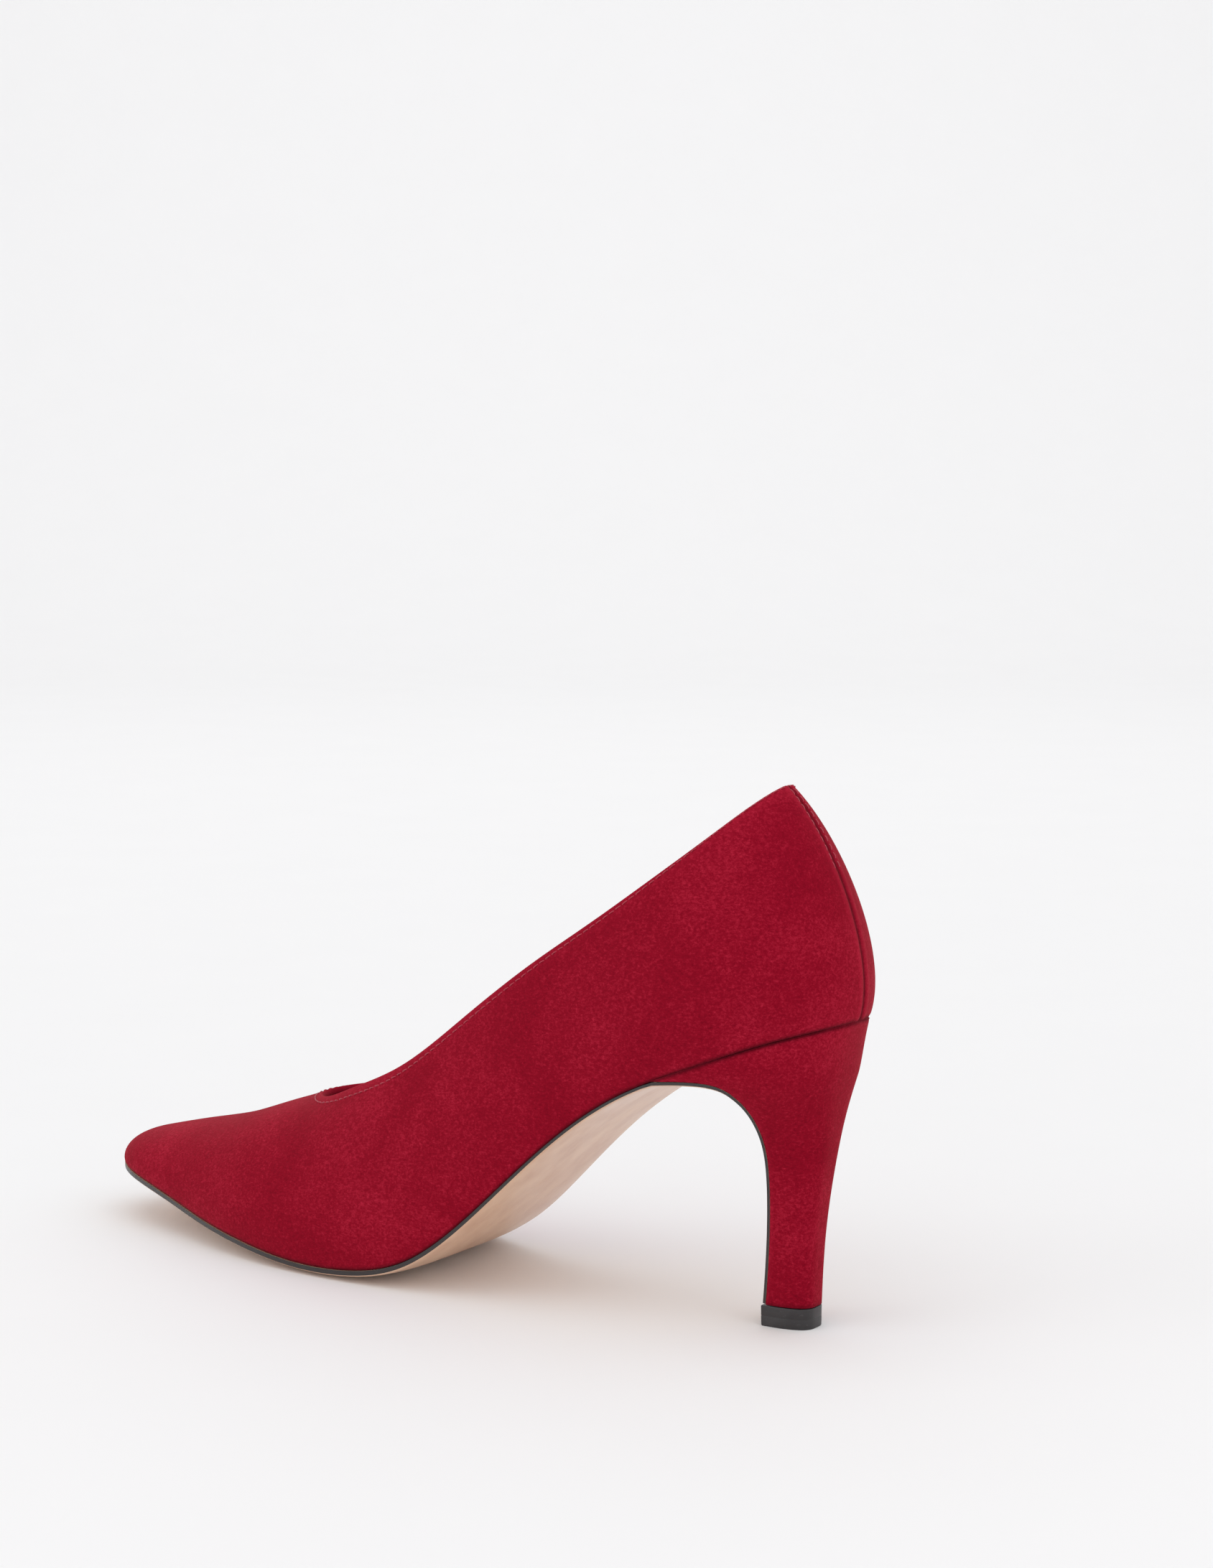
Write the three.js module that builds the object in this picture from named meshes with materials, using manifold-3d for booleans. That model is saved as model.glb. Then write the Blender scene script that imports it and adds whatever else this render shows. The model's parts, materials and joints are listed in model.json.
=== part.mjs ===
// A pointed high heel pump for the left foot, built as an assembly of its separate pieces.
// Millimetres, +Z up. Shoe coordinates: x runs from the back of the heel seat to the toe tip,
// y points to the outer (lateral) side of the foot, and z = 0 is the ground.
import * as THREE from "three";
import { mergeVertices } from "three/addons/utils/BufferGeometryUtils.js";
import Module from "manifold-3d";

const wasm = await Module();
wasm.setup();

// ---- Driving dimensions ----
const LENGTH = 248; // heel seat back to toe tip, along the ground
const HEEL_RISE = 77.8; // how much higher the back of the seat is than the ball
const TOE_SPRING = 13.4; // how much higher the toe tip is than the ball
const BALL_WIDTH = 74;
const CREST_HEIGHT = 66.5; // top of the last above the seat, at the middle of the heel

const SUEDE = 1.1; // thickness of the upper
const TAPE = 0.4;
const STIFFENER = 1.0; // heel counter and toe puff
const LINING = 0.8;
const OUTSOLE = 1.6;
const OUTSOLE_CROWN = 1.4; // extra depth of the sole at its middle
const TREAD_FLAT = 0.3; // how far the crown is pressed flat on the ground
const FLAP = 1.1; // the outsole where it is skived to run down the heel breast
const BOARD = 1.6;
const SHANK = 0.9;
const SHANK_WIDTH = 12;
const CUSHION = 1.6;
const SOCK = 0.8;
const HEEL_COVER = 0.9;
const LASTING_MARGIN = 9; // upper turned in under the insole

const TIP_LENGTH = 11.6; // top piece, front to back
const TIP_WIDTH = 12.8;
const TIP_HEIGHT = 5.4;
const TIP_PIN_RADIUS = 1.3;
const TUBE_OUTER_RADIUS = 2.5;
const TUBE_WALL = 0.9;
const TUBE_LENGTH = 40;
const NAIL_LENGTH = 9.5;
const NAIL_RADIUS = 0.9;
const SCREW_LENGTH = 13;
const SCREW_RADIUS = 1.6;
const HEAD_HEIGHT = 0.5;

const GAP = 0.3; // clearance between neighbouring pieces
const WELD = 0.001;
const SAG = 0.15; // how far the facets of the upper stray from its true face

// ---- Profiles, as [share of LENGTH, ...] ----
// Seat line in side view: share of HEEL_RISE, share of TOE_SPRING.
const SEAT = [
  [0, 1, 0], [0.065, 0.94, 0], [0.138, 0.851, 0], [0.224, 0.731, 0], [0.31, 0.538, 0],
  [0.397, 0.28, 0], [0.483, 0.071, 0], [0.56, 0.006, 0], [0.63, 0, 0], [0.71, 0, 0.14],
  [0.8, 0, 0.37], [0.9, 0, 0.72], [1, 0, 1],
];
// Top of the last (the instep and vamp ridge) above the seat, as a share of CREST_HEIGHT.
const CREST = [
  [0.095, 1.06], [0.194, 1.2], [0.259, 1.23], [0.345, 1.305], [0.431, 1.295], [0.517, 1.13],
  [0.603, 0.84], [0.668, 0.641], [0.741, 0.501], [0.819, 0.357], [0.892, 0.24], [0.961, 0.135],
];
// The topline below the crest, as a share of CREST_HEIGHT; it meets the crest at the throat.
const THROAT = 0.691;
const TOPLINE = [
  [0.06, -0.018], [0.095, 0.11], [0.129, 0.236], [0.194, 0.41], [0.259, 0.48], [0.345, 0.506],
  [0.431, 0.438], [0.517, 0.325], [0.603, 0.143], [0.656, 0.054], [THROAT, 0],
];
// Outline of the feather line, as a share of BALL_WIDTH, at equal steps round from the heel
// over the outer side, the toe tip and the inner side.
const OUTLINE = [
  0, 0.222, 0.335, 0.372, 0.433, 0.417, 0.267, 0.126, -0.106, -0.25, -0.43, -0.578, -0.372,
  -0.262, -0.315, -0.236,
];
// How far the wall leans outwards, from heel to toe.
const LEAN = [[0, 0.353], [0.25, 0.33], [0.5, 0.16], [0.75, 0.28], [1, 0.33]];
const WALL_RISE = 0.31; // length of the lower wall handle, as a share of its height
const CREST_PULL = [[60, 0.5], [200, 0.85]]; // length of the upper handle, by distance from the heel
const CREST_BACK = 32; // where the crest starts, behind the ankle
const TOE_POLE = 11; // the ridge fans out this far behind the toe tip
const HEEL_FAN = 0.86; // angle round the heel over which the crest handles turn backwards
const FAN_ROUND = 0.7; // below 1 the back of the topline is rounder
const CREST_BEND = 0.39; // share of LENGTH where the crest starts to bend to the toe tip
const ARCH_LIFT = 0.8; // inner side of the waist above the outer side
const ARCH_AT = 0.38;
const ARCH_SPREAD = 0.13;

// Heel: half width by height share, and the back and breast curves as [height share, x].
const HEEL_HALF_WIDTH = [[0, 1], [0.33, 1.1], [0.55, 1.3], [0.73, 1.72], [0.87, 2.65], [1, 3.9]];
const HEEL_BACK = [[0, 11.6], [0.25, 10.6], [0.5, 8.1], [0.75, 4.6], [0.9, 1.9], [1, 0.3]];
const BREAST_TOP = 46; // where the outsole leaves the waist to run down the breast
const BREAST = [[0, 0, 0.065], [0.25, -1.2, 0.27], [0.5, -1.9, 0.5], [0.68, -1.2, 0.655],
  [0.82, 3.4, 0.775], [0.92, 12.2, 0.815]]; // [share, x from the tip's front, share of seat height]

const LATERAL = 1;
const MEDIAL = -1;

// ---- Curves ----
// Natural cubic spline through [x, y] points, straight beyond both ends.
function spline(points) {
  const n = points.length;
  const x = points.map((p) => p[0]);
  const y = points.map((p) => p[1]);
  const bend = new Array(n).fill(0);
  const sweep = new Array(n).fill(0);
  for (let i = 1; i < n - 1; i++) {
    const before = x[i] - x[i - 1];
    const after = x[i + 1] - x[i];
    const share = before / (before + after);
    const pivot = share * bend[i - 1] + 2;
    const jump = (y[i + 1] - y[i]) / after - (y[i] - y[i - 1]) / before;
    bend[i] = (share - 1) / pivot;
    sweep[i] = ((6 * jump) / (before + after) - share * sweep[i - 1]) / pivot;
  }
  for (let i = n - 2; i >= 0; i--) bend[i] = bend[i] * bend[i + 1] + sweep[i];
  bend[n - 1] = 0;
  const slopeAt = (i, j) => {
    const span = x[j] - x[i];
    return (y[j] - y[i]) / span - ((2 * bend[i] + bend[j]) * span) / 6;
  };
  return (at) => {
    if (at <= x[0]) return y[0] + slopeAt(0, 1) * (at - x[0]);
    if (at >= x[n - 1]) return y[n - 1] + slopeAt(n - 1, n - 2) * (at - x[n - 1]);
    let i = 0;
    while (at > x[i + 1]) i++;
    const span = x[i + 1] - x[i];
    const a = (x[i + 1] - at) / span;
    const b = 1 - a;
    const curve = ((a ** 3 - a) * bend[i] + (b ** 3 - b) * bend[i + 1]) * span * span;
    return a * y[i] + b * y[i + 1] + curve / 6;
  };
}

const clamp = (value, low, high) => Math.min(Math.max(value, low), high);
const mix = (a, b, share) => a + (b - a) * share;
const smooth = (value, low, high) => {
  const t = clamp((value - low) / (high - low), 0, 1);
  return t * t * (3 - 2 * t);
};
const along = (share) => share * LENGTH;

const BALL_SEAT = OUTSOLE + OUTSOLE_CROWN + GAP - TREAD_FLAT;
const seatLine = spline(
  SEAT.map(([at, heel, toe]) => [along(at), BALL_SEAT + heel * HEEL_RISE + toe * TOE_SPRING]),
);
const crestLine = spline(
  CREST.map(([at, height]) => [along(at), seatLine(along(at)) + height * CREST_HEIGHT]),
);
const topLine = spline(
  TOPLINE.map(([at, drop]) => [along(at), crestLine(along(at)) - drop * CREST_HEIGHT]),
);
const leanAt = spline(LEAN);
const STEP = (2 * Math.PI) / OUTLINE.length;
const outline = spline(
  Array.from({ length: OUTLINE.length + 7 }, (_, k) => {
    const i = k - 3;
    const y = OUTLINE[(i + OUTLINE.length) % OUTLINE.length];
    return [i * STEP, y * BALL_WIDTH];
  }),
);
const TOE_Y = outline(Math.PI);

const edgeX = (angle) => (LENGTH * (1 - Math.cos(angle))) / 2;
const angleAt = (x) => Math.acos(clamp(1 - (2 * x) / LENGTH, -1, 1));
const around = (side, angle) => (side === LATERAL ? angle : 2 * Math.PI - angle);

// Height of the last's bottom; the inner side of the waist is lifted.
function seatZ(x, y) {
  const angle = angleAt(x);
  const outer = outline(angle);
  const inner = outline(2 * Math.PI - angle);
  const share = outer - inner < WELD ? 0.5 : clamp((outer - y) / (outer - inner), 0, 1);
  const lift = ARCH_LIFT * Math.exp(-(((x / LENGTH - ARCH_AT) / ARCH_SPREAD) ** 2));
  return seatLine(x) + lift * share;
}

function feather(side, angle) {
  const x = edgeX(angle);
  const y = outline(around(side, angle));
  return new THREE.Vector3(x, y, seatZ(x, y));
}

// Outward direction of the outline, in plan.
function outwards(side, angle) {
  const d = 1e-4;
  const turn = around(side, angle);
  const dx = (LENGTH * Math.sin(turn)) / 2;
  const dy = (outline(turn + d) - outline(turn - d)) / (2 * d);
  const size = Math.hypot(dx, dy);
  return new THREE.Vector3(-dy / size, dx / size, 0);
}

const POLE_X = LENGTH - TOE_POLE;
function crestPoint(footX) {
  const x = CREST_BACK + (POLE_X - CREST_BACK) * clamp(footX / POLE_X, 0, 1);
  const bend = clamp((x / LENGTH - CREST_BEND) / (1 - CREST_BEND), 0, 1);
  return new THREE.Vector3(x, TOE_Y * bend ** 1.5, crestLine(x));
}

// Outer face of the upper: height share 0 at the feather line, 1 at the crest.
function wall(side, angle, share) {
  const foot = feather(side, angle);
  const crest = crestPoint(foot.x);
  const height = crest.z - foot.z;
  const reach = Math.hypot(crest.x - foot.x, crest.y - foot.y);
  const slope = crestLine(crest.x + 0.5) - crestLine(crest.x - 0.5);
  let heading = (side * Math.PI) / 2;
  if (foot.x > POLE_X) heading = Math.atan2(foot.y - TOE_Y, foot.x - POLE_X);
  let rise = Math.cos(heading) * slope;
  if (angle < HEEL_FAN) {
    heading = side * (Math.PI / 2) * (2 - (angle / HEEL_FAN) ** FAN_ROUND);
    rise = 0;
  }
  const low = outwards(side, angle).multiplyScalar(leanAt(angle / Math.PI));
  low.z = 1;
  low.multiplyScalar(WALL_RISE * height).add(foot);
  const [near, far] = CREST_PULL;
  const pull = mix(near[1], far[1], clamp((foot.x - near[0]) / (far[0] - near[0]), 0, 1)) * reach;
  const high = new THREE.Vector3(Math.cos(heading), Math.sin(heading), rise)
    .multiplyScalar(pull)
    .add(crest);
  return new THREE.CubicBezierCurve3(foot, low, high, crest).getPoint(share);
}

function wallNormal(side, angle, share) {
  if (share > 0.999) {
    const x = crestPoint(edgeX(angle)).x;
    const slope = crestLine(x + 0.5) - crestLine(x - 0.5);
    return new THREE.Vector3(-slope, 0, 1).normalize();
  }
  const d = 1e-3;
  const s = clamp(share, d, 1 - 2 * d);
  const up = wall(side, angle, s + d).sub(wall(side, angle, s - d));
  // An angle past the heel or the toe lies on the other side.
  const mirrored = (a) => {
    if (a < 0) return [-side, -a];
    return a > Math.PI ? [-side, 2 * Math.PI - a] : [side, a];
  };
  const [sideA, a] = mirrored(angle + d);
  const [sideB, b] = mirrored(angle - d);
  const round = wall(sideA, a, s).sub(wall(sideB, b, s));
  return up.cross(round).multiplyScalar(-side).normalize().negate();
}

const inside = (side, angle, share, depth) =>
  wall(side, angle, share).addScaledVector(wallNormal(side, angle, share), -depth);

// ---- Topline ----
const THROAT_X = along(THROAT);
const THROAT_FOOT = (THROAT_X - CREST_BACK) / (1 - CREST_BACK / POLE_X);
const THROAT_ANGLE = angleAt(THROAT_FOOT);

// Share of the wall at which it reaches the topline.
function topShare(side, angle) {
  if (angle >= THROAT_ANGLE) return 1;
  const above = (s) => {
    const p = wall(side, angle, s);
    return p.z - topLine(Math.min(p.x, THROAT_X));
  };
  const steps = 60;
  let low = 0.3;
  let high = low;
  while (high < 1 && above(high) < 0) {
    low = high;
    high = Math.min(1, high + 1 / steps);
  }
  for (let i = 0; i < 20; i++) {
    const middle = (low + high) / 2;
    if (above(middle) < 0) low = middle;
    else high = middle;
  }
  return (low + high) / 2;
}

// Lowest share of the wall at which everything down to a depth under it clears the last's
// bottom by a height.
function shareAtHeight(side, angle, height, depth) {
  const clears = (share) =>
    [0, depth].every((d) => {
      const p = inside(side, angle, share, d);
      return p.z - seatZ(p.x, p.y) >= height;
    });
  let low = 0;
  let high = 0.04;
  while (high < 0.96 && !clears(high)) {
    low = high;
    high += 0.04;
  }
  for (let i = 0; i < 14; i++) {
    const middle = (low + high) / 2;
    if (clears(middle)) high = middle;
    else low = middle;
  }
  return high;
}

// ---- Solids ----
class Shell {
  constructor() {
    this.points = [];
    this.faces = [];
    this.known = new Map();
  }
  point(p) {
    const key = [p.x, p.y, p.z].map((v) => Math.round(v / (2 * WELD))).join();
    if (!this.known.has(key)) {
      this.known.set(key, this.points.length);
      this.points.push(p);
    }
    return this.known.get(key);
  }
  face(a, b, c) {
    if (a !== b && b !== c && c !== a) this.faces.push([a, b, c]);
  }
  quad(a, b, c, d) {
    this.face(a, b, c);
    this.face(a, c, d);
  }
  // Joins two rows of points that run the same way.
  strip(first, second, flipped = false) {
    for (let i = 0; i + 1 < first.length; i++) {
      const [a, b, c, d] = [first[i], first[i + 1], second[i + 1], second[i]];
      if (flipped) this.quad(a, d, c, b);
      else this.quad(a, b, c, d);
    }
  }
  geometry() {
    let volume = 0;
    for (const [a, b, c] of this.faces) {
      const [p, q, r] = [this.points[a], this.points[b], this.points[c]];
      volume += p.dot(q.clone().cross(r));
    }
    const positions = [];
    for (const [a, b, c] of this.faces) {
      const order = volume > 0 ? [a, b, c] : [a, c, b];
      for (const k of order) positions.push(...this.points[k].toArray());
    }
    const geometry = new THREE.BufferGeometry();
    geometry.setAttribute("position", new THREE.Float32BufferAttribute(positions, 3));
    geometry.computeVertexNormals();
    return geometry;
  }
}

// Ring columns, each a closed loop of points, joined in order and closed at both ends.
// The two halves of a loop mirror each other: point k faces point n - 1 - k.
function ringSolid(rings, capStart = true, capEnd = true) {
  const shell = new Shell();
  const rows = rings.map((ring) => ring.map((p) => shell.point(p)));
  const closed = (row) => [...row, row[0]];
  for (let i = 0; i + 1 < rows.length; i++) shell.strip(closed(rows[i]), closed(rows[i + 1]));
  const cap = (row, flipped) => {
    const half = row.length / 2;
    shell.strip(row.slice(0, half), row.slice(half).reverse(), flipped);
  };
  if (capStart) cap(rows[0], true);
  if (capEnd) cap(rows.at(-1), false);
  return shell.geometry();
}

const evenly = (from, to, count) =>
  Array.from({ length: count + 1 }, (_, i) => mix(from, to, i / count));

// Every piece takes its sections from these angles, so that neighbours stay parallel.
const SEAT_END = angleAt(BREAST_TOP);
const STATIONS = [
  ...evenly(0, SEAT_END, 9),
  ...evenly(SEAT_END, THROAT_ANGLE - 0.09, 10).slice(1),
  THROAT_ANGLE - 0.035,
  ...evenly(THROAT_ANGLE, Math.PI, 11),
];
const JOINT = (1.3 * GAP) / LENGTH; // half the angle left open where two pieces meet
const stationNear = (x) =>
  STATIONS.reduce((best, a) => (Math.abs(edgeX(a) - x) < Math.abs(edgeX(best) - x) ? a : best));
function angles(from, to) {
  const near = 0.012;
  const between = STATIONS.filter((a) => a > from + near && a < to - near);
  return [from, ...between, to];
}

// A layer of the upper on both sides of the shoe, between two depths under its outer face.
// low and high give the wall share of its lower and upper edge at a side and angle.
function layer({ stations, low, high, outer, inner, rows, margin = false, heel, toe }) {
  const shell = new Shell();
  for (const side of [LATERAL, MEDIAL]) {
    const columns = stations.map((angle) => {
      const from = low(side, angle);
      const to = high(side, angle);
      const outerRow = [];
      const innerRow = [];
      if (margin) {
        const foot = feather(side, angle);
        const spine = new THREE.Vector3(clamp(foot.x, 26, LENGTH - 24), 0, 0);
        const across = angleAt(spine.x);
        spine.y = (outline(across) + outline(2 * Math.PI - across)) / 2;
        const flat = new THREE.Vector3(foot.x, foot.y, 0);
        const way = spine.clone().sub(flat);
        const reach = Math.min(LASTING_MARGIN, 0.7 * way.length());
        const tucked = (distance, height) => {
          const p = flat.clone().addScaledVector(way, distance / way.length());
          return p.setZ(seatZ(p.x, p.y) + height);
        };
        outerRow.push(tucked(reach, 0), tucked(reach / 2, 0));
        innerRow.push(tucked(reach, inner(0)), tucked((reach + inner(0)) / 2, inner(0)));
      }
      for (let j = 0; j <= rows; j++) {
        const v = j / rows;
        const share = mix(from, to, v);
        outerRow.push(inside(side, angle, share, outer(v, angle)));
        const innerPoint = inside(side, angle, share, inner(v, angle));
        if (margin && j === 0) innerPoint.z = seatZ(innerPoint.x, innerPoint.y) + inner(0);
        innerRow.push(innerPoint);
      }
      return {
        outer: outerRow.map((p) => shell.point(p)),
        inner: innerRow.map((p) => shell.point(p)),
        onCrest: to > 0.999,
      };
    });
    const flipped = side === LATERAL;
    for (let i = 0; i + 1 < columns.length; i++) {
      const [a, b] = [columns[i], columns[i + 1]];
      shell.strip(a.outer, b.outer, flipped);
      shell.strip(a.inner, b.inner, !flipped);
      shell.strip([a.outer[0], a.inner[0]], [b.outer[0], b.inner[0]], !flipped);
      const top = (c) => [c.outer.at(-1), c.inner.at(-1)];
      if (!(a.onCrest && b.onCrest)) shell.strip(top(a), top(b), flipped);
    }
    if (!heel) shell.strip(columns[0].outer, columns[0].inner, !flipped);
    if (!toe) shell.strip(columns.at(-1).outer, columns.at(-1).inner, flipped);
  }
  return shell.geometry();
}

// A plate that follows the last's bottom, between two heights above it.
// Its edge keeps inside a layer of the upper of that depth, or a margin in from the outline.
function plate({ from, to, depth, margin, lower, upper, width = Infinity, centre = 0 }) {
  const rings = angles(from, to).map((angle) => {
    const edges = [LATERAL, MEDIAL].map((side) => {
      const p = feather(side, angle);
      if (margin) {
        p.y -= side * margin;
        p.y = clamp(p.y, centre - width / 2, centre + width / 2);
        return p;
      }
      const insets = [lower, upper].map((height) => {
        const share = shareAtHeight(side, angle, height, depth);
        const wallAt = inside(side, angle, share, depth);
        return p.clone().sub(wallAt).dot(outwards(side, angle)) + 2 * GAP + SAG;
      });
      return p.addScaledVector(outwards(side, angle), -Math.max(...insets));
    });
    const row = (height) =>
      [0, 0.5, 1].map((s) => {
        const p = edges[0].clone().lerp(edges[1], s);
        return p.setZ(seatZ(p.x, p.y) + height);
      });
    return [...row(lower), ...row(upper).reverse()];
  });
  return ringSolid(rings);
}

function toSolid(geometry) {
  const bare = new THREE.BufferGeometry();
  bare.setAttribute("position", geometry.getAttribute("position"));
  if (geometry.index) bare.setIndex(geometry.index);
  const merged = mergeVertices(bare, WELD);
  return new wasm.Manifold(
    new wasm.Mesh({
      numProp: 3,
      vertProperties: merged.attributes.position.array,
      triVerts: new Uint32Array(merged.index.array),
    }),
  );
}

function cut(geometry, tools) {
  const solid = tools.reduce((left, tool) => left.subtract(toSolid(tool)), toSolid(geometry));
  const mesh = solid.getMesh();
  const cutGeometry = new THREE.BufferGeometry();
  cutGeometry.setAttribute("position", new THREE.BufferAttribute(mesh.vertProperties, 3));
  cutGeometry.setIndex(new THREE.BufferAttribute(mesh.triVerts, 1));
  return cutGeometry.toNonIndexed();
}

// A turned pin: profile of [radius, height] pairs, from the bottom to the top.
function turned(profile, sides = 12) {
  const shell = new Shell();
  const rows = profile.map(([radius, height]) =>
    Array.from({ length: sides + 1 }, (_, i) => {
      const swing = (2 * Math.PI * (i % sides)) / sides;
      const at = new THREE.Vector3(radius * Math.cos(swing), radius * Math.sin(swing), height);
      return shell.point(at);
    }),
  );
  for (let i = 0; i + 1 < rows.length; i++) shell.strip(rows[i], rows[i + 1]);
  return shell.geometry();
}

// Puts a turned piece, whose top is at height 0, square on the seat at (x, y), raised by height.
function onSeat(geometry, x, y, height) {
  const slope = (seatLine(x + 1) - seatLine(x - 1)) / 2;
  const up = new THREE.Vector3(-slope, 0, 1).normalize();
  const base = new THREE.Vector3(x, y, seatZ(x, y) + height * up.z);
  base.x += height * up.x;
  const turn = new THREE.Quaternion().setFromUnitVectors(new THREE.Vector3(0, 0, 1), up);
  return geometry.clone().applyQuaternion(turn).translate(base.x, base.y, base.z);
}

// ---- Layer heights and depths ----
const UPPER_ROWS = 8;

const TAPE_DEPTH = SUEDE + GAP;
const STIFFENER_DEPTH = TAPE_DEPTH + TAPE + GAP;
const LINING_DEPTH = STIFFENER_DEPTH + STIFFENER + GAP;
const RIM_LINING_DEPTH = TAPE_DEPTH + TAPE + GAP;
const BOARD_BOTTOM = SUEDE + GAP;
const BOARD_TOP = BOARD_BOTTOM + BOARD;
const HEAD_TOP = BOARD_TOP + 0.1 + HEAD_HEIGHT;
const CUSHION_BOTTOM = HEAD_TOP + GAP;
const SOCK_BOTTOM = CUSHION_BOTTOM + CUSHION + GAP;
const LINING_BOTTOM = BOARD_TOP + GAP;

const liningLow = (side, angle) =>
  shareAtHeight(side, angle, LINING_BOTTOM, LINING_DEPTH + LINING);
const PUFF_START = stationNear(LENGTH - 62);
const COUNTER_TOP = 0.78; // counter height as a share of the wall
// The lining closes up to the suede at the topline, and runs on over the toe puff.
function liningDepth(v, angle) {
  const rim = smooth(v, COUNTER_TOP + 0.02, 0.93) * (1 - smooth(angle, THROAT_ANGLE, PUFF_START));
  return mix(LINING_DEPTH, RIM_LINING_DEPTH, rim);
}

// ---- Upper, linings and stiffeners ----
const LINING_JOIN = stationNear(along(0.5)); // the vamp lining meets the quarter lining here
const COUNTER_END = stationNear(74);
const TAPE_END = stationNear(along(0.5));

const suedeUpper = layer({
  stations: STATIONS,
  low: () => 0,
  high: topShare,
  outer: () => 0,
  inner: () => SUEDE,
  rows: UPPER_ROWS,
  margin: true,
  heel: true,
  toe: true,
});

const vampLining = layer({
  stations: angles(LINING_JOIN + JOINT, Math.PI),
  low: liningLow,
  high: topShare,
  outer: liningDepth,
  inner: (v, angle) => liningDepth(v, angle) + LINING,
  rows: 6,
  heel: false,
  toe: true,
});

const quarterLining = layer({
  stations: angles(0, LINING_JOIN - JOINT),
  low: liningLow,
  high: topShare,
  outer: liningDepth,
  inner: (v, angle) => liningDepth(v, angle) + LINING,
  rows: 6,
  heel: true,
  toe: false,
});

const toePuff = layer({
  stations: angles(PUFF_START, Math.PI),
  low: liningLow,
  high: () => 1,
  outer: () => STIFFENER_DEPTH,
  inner: () => STIFFENER_DEPTH + STIFFENER,
  rows: 6,
  heel: false,
  toe: true,
});

const heelCounter = layer({
  stations: angles(0, COUNTER_END),
  low: liningLow,
  high: (side, angle) => {
    const fall = smooth(angle / COUNTER_END, 0.5, 1) * 0.3;
    return topShare(side, angle) * (COUNTER_TOP - fall);
  },
  outer: () => STIFFENER_DEPTH,
  inner: () => STIFFENER_DEPTH + STIFFENER,
  rows: 4,
  heel: true,
  toe: false,
});

const toplineTape = layer({
  stations: angles(0, TAPE_END),
  low: (side, angle) => (topShare(side, angle) * (UPPER_ROWS - 1)) / UPPER_ROWS,
  high: (side, angle) => topShare(side, angle) * 0.955,
  outer: () => TAPE_DEPTH,
  inner: () => TAPE_DEPTH + TAPE,
  rows: 2,
  heel: true,
  toe: false,
});

const backSeamTape = layer({
  stations: angles(0, STATIONS[1]),
  low: (side, angle) => liningLow(side, angle) + 0.02,
  high: (side, angle) => topShare(side, angle) * 0.86,
  outer: () => TAPE_DEPTH,
  inner: () => TAPE_DEPTH + TAPE,
  rows: 6,
  heel: true,
  toe: false,
});

// ---- Heel ----
const TIP_FRONT = HEEL_BACK[0][1] + TIP_LENGTH;
const TIP_BACK = HEEL_BACK[0][1];
const HEEL_BOTTOM = TIP_HEIGHT + GAP;
const breastCurve = (() => {
  const top = seatLine(BREAST_TOP) - GAP;
  const back = seatLine(0);
  const knots = BREAST.map(([t, x, z]) => [t, TIP_FRONT + x, z * back]);
  knots[0][2] = HEEL_BOTTOM;
  knots.push([1, BREAST_TOP, top]);
  const x = spline(knots.map((k) => [k[0], k[1]]));
  const z = spline(knots.map((k) => [k[0], k[2]]));
  return (t) => ({ x: x(t), z: z(t) });
})();
const heelBack = spline(HEEL_BACK);
const heelHalfWidth = spline(HEEL_HALF_WIDTH.map(([t, w]) => [t, (w * TIP_WIDTH) / 2]));
const D_ROUND = 2.2; // the section of the heel is a D: square at the breast, round at the back
const D_SIDES = 0.3;

// Outer face of the covered heel. turn runs 0 to 1 from the outer breast corner round the back to
// the inner one, and t from the top piece (0) to the seat (1).
function heelFace(turn, t) {
  const side = turn < 0.5 ? LATERAL : MEDIAL;
  const angle = SEAT_END * Math.abs(1 - 2 * turn);
  const back = 1 - edgeX(angle) / BREAST_TOP;
  const front = breastCurve(t);
  const seat = feather(side, angle);
  const rest = smooth(t, 0.8, 1);
  const roundY = side * heelHalfWidth(t) * (1 - back ** D_ROUND) ** D_SIDES;
  return new THREE.Vector3(
    mix(mix(front.x, heelBack(t), back), seat.x, rest * rest),
    mix(roundY, seat.y, t ** 3 * smooth(t, 0.3, 1)),
    mix(mix(front.z, mix(HEEL_BOTTOM, seatLine(0) - GAP, t), back), seat.z - GAP, rest),
  );
}

// Points inside the heel's face, moved in square to its section and kept behind the breast.
function heelInside(turn, t, depth) {
  const d = 1e-3;
  const at = heelFace(turn, t);
  if (depth === 0) return at;
  const u = clamp(turn, 2 * d, 1 - 2 * d);
  const round = heelFace(u + d, t).sub(heelFace(u - d, t));
  const outward = new THREE.Vector3(round.y, -round.x, 0).normalize();
  const moved = at.clone().addScaledVector(outward, -depth);
  moved.x = Math.min(moved.x, heelFace(0, t).x);
  moved.z += (seatLine(moved.x) - seatLine(at.x)) * smooth(t, 0.8, 1);
  return moved;
}

const HEEL_TURNS = 2 * STATIONS.indexOf(SEAT_END);
const HEEL_LEVELS = 16;
const levels = Array.from({ length: HEEL_LEVELS + 1 }, (_, i) => i / HEEL_LEVELS);
const turns = Array.from({ length: HEEL_TURNS + 1 }, (_, i) => i / HEEL_TURNS);

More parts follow.
